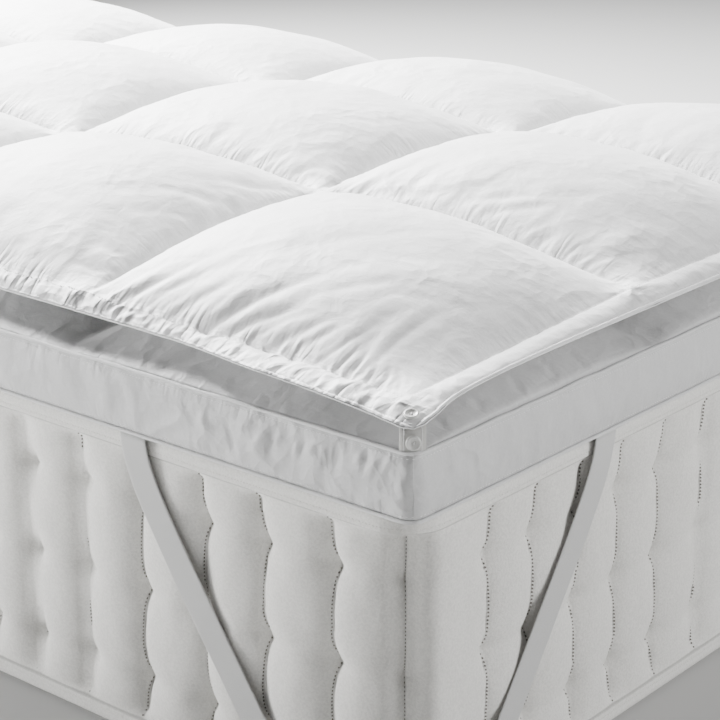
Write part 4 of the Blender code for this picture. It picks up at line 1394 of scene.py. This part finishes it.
def button_surface(place, facing, turn):
    """A turned button: its profile carried round its axis, with four holes sunk into its front."""
    angle = np.linspace(0, 2 * math.pi, 40, endpoint=False)
    radius, height = np.array(BUTTON_RINGS).T
    fine = np.linspace(0.0003, 0.0030, 14)
    height = np.concatenate([np.interp(fine, radius[:DISH], height[:DISH]), height[DISH:]])[:, None]
    radius = np.concatenate([fine, radius[DISH:]])[:, None]
    x, y = radius * np.cos(angle), radius * np.sin(angle)
    z = np.broadcast_to(height, x.shape).copy()
    front = np.arange(len(radius))[:, None] < len(fine)
    for quarter in range(4):
        a = math.pi / 4 + quarter * math.pi / 2
        off = np.hypot(x - HOLE_SPREAD * math.cos(a), y - HOLE_SPREAD * math.sin(a))
        hole = 1 - ramp(off, 0.6 * HOLE_RADIUS, 1.25 * HOLE_RADIUS)
        z -= np.where(front, HOLE_DEPTH * hole, 0)
    axis = np.array(facing) / np.linalg.norm(facing)
    side = np.cross([0, 0, 1], axis)
    side = side / np.linalg.norm(side)
    up = np.cross(axis, side)
    side, up = side * math.cos(turn) + up * math.sin(turn), up * math.cos(turn) - side * math.sin(turn)
    flat = x[..., None] * side + y[..., None] * up + z[..., None] * axis
    ends = np.array([axis * BUTTON_RINGS[0][1], axis * 0.0])
    return np.array(place) + flat, np.array(place) + ends, (side, up, axis)


def thread_strands(place, axes):
    """Two crossed bars of thread between the holes, each a round arc that dips into two holes."""
    side, up, axis = axes
    strands = []
    t = np.linspace(-1, 1, 9)
    ring = np.arange(6) * math.pi / 3
    for sign in (1, -1):
        direction = (side * sign + up) / math.sqrt(2)
        other = np.cross(axis, direction)
        centre = (np.array(place) + np.outer(t * HOLE_SPREAD * 1.05, direction)
                  + np.outer(0.0021 - HOLE_DEPTH * t**4, axis))
        circle = 0.00026 * (np.cos(ring)[:, None] * other + np.sin(ring)[:, None] * axis)
        strands.append(centre[:, None, :] + circle[None])
    return strands


def button_places():
    """(name, node, place of its back, facing) for both buttons at each corner."""
    found = []
    for number, corner in enumerate(CORNERS, 1):
        x, y = (sign * (half - BUTTON_INSET) for sign, half in zip(corner, HALF))
        step = 0.001
        level = flange_level(x, y)
        slope = [(flange_level(x + step, y) - level) / step, (flange_level(x, y + step) - level) / step]
        facing = Vector((-slope[0], -slope[1], 1)).normalized()
        place = Vector((x, y, PAD_BASE + level + SHEET / 2)) + facing * 1.6 * GAP
        found.append((f"flange_button_{number}", f"top_button_{number}", place, facing))
        front = TAB_INSET - TAB_THICKNESS / 2 - GAP
        place = at_corner(corner, front, 0.0, TAB_BUTTON_HEIGHT)
        found.append((f"tape_button_{number}", f"tab_button_{number}", place, (*corner, 0.0)))
    return found


def make_buttons(material, thread_material):
    """Both buttons at each corner, with their threads."""
    for name, node_name, place, facing in button_places():
        surface, poles, axes = button_surface(place, facing, 0.35 if "flange" in name else 0.1)
        piece = capped_forms(name, surface.swapaxes(0, 1)[None], poles, material, "button_resin")
        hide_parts(node_name)
        strands = np.stack(thread_strands(place, axes))
        capped_forms(name + "_thread", strands.swapaxes(1, 2), strands[:, [0, -1]].mean(axis=2),
                     thread_material, "button_resin")


def stitch_mesh(name, centres, along, up, length, radius, material, slot):
    """Stitches as one mesh. Each is a bead along its thread: two rings of four points, and a point at
    each end that dips into the cloth."""
    along = along / np.linalg.norm(along, axis=-1, keepdims=True)
    up = up - along * (up * along).sum(axis=-1, keepdims=True)
    up = up / np.linalg.norm(up, axis=-1, keepdims=True)
    side = np.cross(along, up)
    rows = [centres - along * (length / 2) - up * (0.8 * radius)]
    for t in (-0.24, 0.24):
        rows += [centres + along * (t * length) + side * (radius * a) + up * (radius * b)
                 for a, b in ((1, 0), (0, 1), (-1, 0), (0, -1))]
    rows.append(centres + along * (length / 2) - up * (0.8 * radius))
    points = np.stack(rows, axis=1)
    triangles = [(0, 2, 1), (0, 3, 2), (0, 4, 3), (0, 1, 4), (9, 5, 6), (9, 6, 7), (9, 7, 8), (9, 8, 5)]
    quads = [(1, 2, 6, 5), (2, 3, 7, 6), (3, 4, 8, 7), (4, 1, 5, 8)]
    first = 10 * np.arange(len(centres))[:, None, None]
    return mesh_piece(name, points.reshape(-1, 3), (first + np.array(quads)).reshape(-1, 4),
                      (first + np.array(triangles)).reshape(-1, 3), material, slot=slot)


def line_stitches(x, y, pitch):
    """(centres, directions) of evenly spaced stitches along a line of points laid on the upper pad."""
    run = np.concatenate([[0], np.cumsum(np.hypot(np.diff(x), np.diff(y)))])
    at = np.arange(pitch / 2, run[-1], pitch)

    def on_pad(along):
        px, py = np.interp(along, run, x), np.interp(along, run, y)
        return np.stack(drooped(px, py, PAD_BASE + upper_faces(px, py)[0]), -1)

    centres = on_pad(at)
    direction = on_pad(at + pitch / 3) - centres
    short = np.linalg.norm(direction, axis=1) < 1e-6
    direction[short] = direction[np.where(short)[0] - 1]
    return centres, direction


def make_pad_stitches(material, pitch):
    """Stitches of the upper pad: along every box seam, round the outer seam, and along the edge."""
    rows = []
    for place in UPPER_SEAMS[0]:
        y = np.linspace(UPPER_SEAMS[1][0], UPPER_SEAMS[1][-1], 400)
        rows.append((np.full(y.shape, place), y))
    for place in UPPER_SEAMS[1]:
        x = np.linspace(UPPER_SEAMS[0][0], UPPER_SEAMS[0][-1], 800)
        rows.append((x, np.full(x.shape, place)))
    edge, _, _ = pad_outline(EDGE_STITCHES, 0.003, 0.012)
    rows.append(np.concatenate([edge, edge[:1]]).T)
    found = [line_stitches(x, y, pitch) for x, y in rows]
    centres, along = (np.concatenate([row[k] for row in found]) for k in (0, 1))
    up = np.broadcast_to((0.0, 0.0, 1.0), centres.shape)
    stitch_mesh("upper_pad_stitches", centres, along, up, pitch * 0.72, 0.00032, material,
                "upper_pad_cotton")


def make_wall_stitches(material, pitch):
    """Stitches beside both pipings, just inside each cord on the wall."""
    core, radius = HALF - CORNER, CORNER - RIM_INSET
    at = np.arange(0, round_length(core, radius) - pitch, pitch)
    spot, out = outline_at(at, core, radius)
    ahead, _ = outline_at(at + pitch / 3, core, radius)
    place = wall_place(*outline_at(at, core, CORNER)[0].T)
    level = np.zeros((len(at), 1))
    along, up = (np.tile(np.concatenate([part, level], -1), (len(WALL_STITCH_SHARES), 1))
                 for part in (ahead - spot, out))
    centres = []
    for share in WALL_STITCH_SHARES:
        push = wall_out(place, np.full(at.shape, share)) + 0.00005
        height = np.full((len(at), 1), PAD_BASE + WALL * (1 - share))
        centres.append(np.concatenate([spot + out * push[:, None], height], -1))
    stitch_mesh("lower_pad_stitches", np.concatenate(centres), along, up, pitch * 0.7, 0.00028,
                material, "lower_pad_cotton")


def make_mattress_stitches(dark, light, pitch, depth):
    """Tufting stitches down each of the wall's seams, and two rows along both tapes."""

    def on_wall(s, h):
        spot, out = outline_at(s, MATTRESS_CORE, MATTRESS_CORNER)
        centres = np.concatenate([spot - out * segment_depth(s, h, depth)[:, None], h[:, None]], -1)
        return centres, np.concatenate([out, np.zeros((len(out), 1))], -1)

    z = np.arange(TAPE_HEIGHT + 0.003, MATTRESS_HEIGHT - TAPE_HEIGHT - 0.002, pitch)
    seams = TUFT_SEAMS[TUFT_SEAMS < MATTRESS_ROUND - 0.01]
    place, height = (part.ravel() for part in np.meshgrid(seams, z, indexing="ij"))
    # The thread shows on the segment's slope just past the seam's lowest line.
    past = 0.0011 * near_sign(place)
    centres, up = on_wall(seam_line(place, height) + past, height)
    ahead, _ = on_wall(seam_line(place, height + pitch / 3) + past, height + pitch / 3)
    # These stitches take the dark colour, which is partly the thread's own and partly painted shade of
    # the needle holes they sit in.
    stitch_mesh("tufting_stitches", centres + up * 0.0002, ahead - centres, up, pitch * 0.62, 0.00078,
                dark, "mattress_ticking")
    at = np.arange(0, MATTRESS_ROUND, pitch)
    levels = [side for level in TAPE_STITCHES for side in (level, MATTRESS_HEIGHT - level)]
    place, height = np.tile(at, len(levels)), np.repeat(levels, len(at))
    centres, up = on_wall(place, height)
    along = on_wall(place + pitch / 3, height)[0] - centres
    along[:, 2] += 0.0007 * np.where(np.round(place / pitch).astype(int) % 2, 1, -1)
    stitch_mesh("tape_stitches", centres, along, up, pitch * 0.85, 0.00030, light, "mattress_ticking")


# ---------------------------------------------------------------- operators


def settings(context):
    """The scene's sizes, colours and studio settings."""
    return context.scene.protector_sizes, context.scene.protector_colours, context.scene.studio


class PROTECTOR_OT_mattress(bpy.types.Operator):
    """Build the mattress with its tufted wall and its stitches"""

    bl_idname = "protector.mattress"
    bl_label = "Mattress"

    def execute(self, context):
        sizes, colours, _ = settings(context)
        make_mattress(ticking_cloth("mattress ticking", colours.mattress), sizes.segment_depth)
        make_mattress_stitches(thread("tufting thread", colours.tuft_thread_and_painted_hole_shade),
                               thread("tape thread", darker(colours.tape, 0.9)), sizes.tuft_pitch,
                               sizes.segment_depth)
        return {"FINISHED"}


class PROTECTOR_OT_lower_pad(bpy.types.Operator):
    """Build the lower pad, its two pipings and its stitches"""

    bl_idname = "protector.lower_pad"
    bl_label = "Lower pad"

    def execute(self, context):
        sizes, colours, _ = settings(context)
        make_lower_pad(down_cotton("lower pad cotton", colours.lower, 0.5, 0.0009, 0.0036))
        make_pipings(ribbed_cloth("piping cotton", colours.piping, 0.0012, True, 0.00012, 0.6),
                     sizes.cord_radius)
        make_wall_stitches(thread("lower pad thread", colours.thread), sizes.stitch_pitch)
        return {"FINISHED"}


class PROTECTOR_OT_upper_pad(bpy.types.Operator):
    """Build the upper pad and its stitches"""

    bl_idname = "protector.upper_pad"
    bl_label = "Upper pad"

    def execute(self, context):
        sizes, colours, _ = settings(context)
        make_upper_pad(down_cotton("upper pad cotton", colours.upper, 0.62, 0.0007, 0.0060))
        make_pad_stitches(thread("upper pad thread", colours.thread), sizes.stitch_pitch)
        return {"FINISHED"}


class PROTECTOR_OT_tabs(bpy.types.Operator):
    """Build the tape tabs and the buttons at the corners"""

    bl_idname = "protector.tabs"
    bl_label = "Tabs and buttons"

    def execute(self, context):
        _, colours, _ = settings(context)
        button_thread = thread("button thread", colours.thread)
        make_tabs(ribbed_cloth("tab twill", colours.tab, 0.0011, True, 0.00025), button_thread)
        make_buttons(resin("button resin", colours.button), button_thread)
        return {"FINISHED"}


class PROTECTOR_OT_straps(bpy.types.Operator):
    """Build the elastic straps at the corners"""

    bl_idname = "protector.straps"
    bl_label = "Straps"

    def execute(self, context):
        _, colours, _ = settings(context)
        make_straps(ribbed_cloth("elastic webbing", colours.strap, 0.0016, False, 0.00022))
        return {"FINISHED"}


STUDIO_CENTRE = np.array([0.85, -0.30, 0.35])
FLOOR_HALF = 14.0
LIGHTS = (
    # name of its power, turn and height in degrees, distance and size
    ("key", 160, 31, 3.1, 1.45),
    ("side_key", 210, 3, 3.0, 0.9),
    ("fill", 29, 18, 5.0, 2.4),
)


def area_light(name, place, size, power):
    """A square area light that faces the studio's centre."""
    light = bpy.data.lights.new(name, "AREA")
    light.size, light.energy = size, power
    lamp = bpy.data.objects.new(name, light)
    lamp.location = place
    lamp.rotation_mode = "QUATERNION"
    lamp.rotation_quaternion = Vector(STUDIO_CENTRE - place).to_track_quat("-Z", "Y")
    bpy.context.scene.collection.objects.link(lamp)


class PROTECTOR_OT_studio(bpy.types.Operator):
    """Build the pale floor, the soft lights and the camera"""

    bl_idname = "protector.studio"
    bl_label = "Studio"

    def execute(self, context):
        _, colours, studio = settings(context)
        material, _, shader = new_material("floor", 0.8, 0.1)
        shader.inputs["Base Color"].default_value = (*colours.floor, 1)
        corners = np.array([[-1, -1, 0], [1, -1, 0], [1, 1, 0], [-1, 1, 0]]) * FLOOR_HALF
        mesh = bpy.data.meshes.new("floor")
        mesh.from_pydata(corners.tolist(), [], [(0, 1, 2, 3)])
        mesh.materials.append(material)
        floor = bpy.data.objects.new("floor", mesh)
        context.scene.collection.objects.link(floor)
        world = bpy.data.worlds.new("studio")
        world.use_nodes = True
        background = world.node_tree.nodes["Background"]
        background.inputs["Color"].default_value = (1, 1, 1, 1)
        background.inputs["Strength"].default_value = studio.sky
        context.scene.world = world
        for name, turn, height, distance, size in LIGHTS:
            a, e = math.radians(turn), math.radians(height)
            way = np.array([math.cos(a) * math.cos(e), math.sin(a) * math.cos(e), math.sin(e)])
            area_light(name, STUDIO_CENTRE + distance * way, size, getattr(studio, name))
        data = bpy.data.cameras.new("camera")
        data.lens, data.sensor_width = studio.lens, 36.0
        data.clip_start, data.clip_end = 0.05, 60.0
        camera = bpy.data.objects.new("camera", data)
        a, e = studio.azimuth, studio.elevation
        back = Vector((math.sin(a) * math.cos(e), -math.cos(a) * math.cos(e), math.sin(e)))
        camera.location = studio.place
        camera.rotation_mode = "QUATERNION"
        camera.rotation_quaternion = (-back).to_track_quat("-Z", "Y")
        context.scene.collection.objects.link(camera)
        context.scene.camera = camera
        return {"FINISHED"}


OPERATORS = (PROTECTOR_OT_studio, PROTECTOR_OT_mattress, PROTECTOR_OT_lower_pad,
             PROTECTOR_OT_upper_pad, PROTECTOR_OT_tabs, PROTECTOR_OT_straps)


class PROTECTOR_PT_panel(bpy.types.Panel):
    """Sizes, colours and building steps of the mattress protector"""

    bl_idname = "PROTECTOR_PT_panel"
    bl_label = "Mattress protector"
    bl_space_type = "VIEW_3D"
    bl_region_type = "UI"
    bl_category = "Protector"

    def draw(self, context):
        for group in settings(context):
            box = self.layout.box()
            for name in type(group).__annotations__:
                box.prop(group, name)
        for operator in OPERATORS:
            self.layout.operator(operator.bl_idname)


CLASSES = (ProtectorSizes, ProtectorColours, StudioSettings, *OPERATORS, PROTECTOR_PT_panel)


def register():
    """Adds the classes, and the settings to each scene."""
    for each in CLASSES:
        bpy.utils.register_class(each)
    bpy.types.Scene.protector_sizes = bpy.props.PointerProperty(type=ProtectorSizes)
    bpy.types.Scene.protector_colours = bpy.props.PointerProperty(type=ProtectorColours)
    bpy.types.Scene.studio = bpy.props.PointerProperty(type=StudioSettings)


def unregister():
    """Takes away what register adds."""
    del bpy.types.Scene.studio, bpy.types.Scene.protector_colours, bpy.types.Scene.protector_sizes
    for each in reversed(CLASSES):
        bpy.utils.unregister_class(each)


def main():
    """Registers the add-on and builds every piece."""
    register()
    bpy.ops.protector.studio()
    bpy.ops.protector.mattress()
    bpy.ops.protector.lower_pad()
    bpy.ops.protector.upper_pad()
    bpy.ops.protector.tabs()
    bpy.ops.protector.straps()


if __name__ == "__main__":
    main()
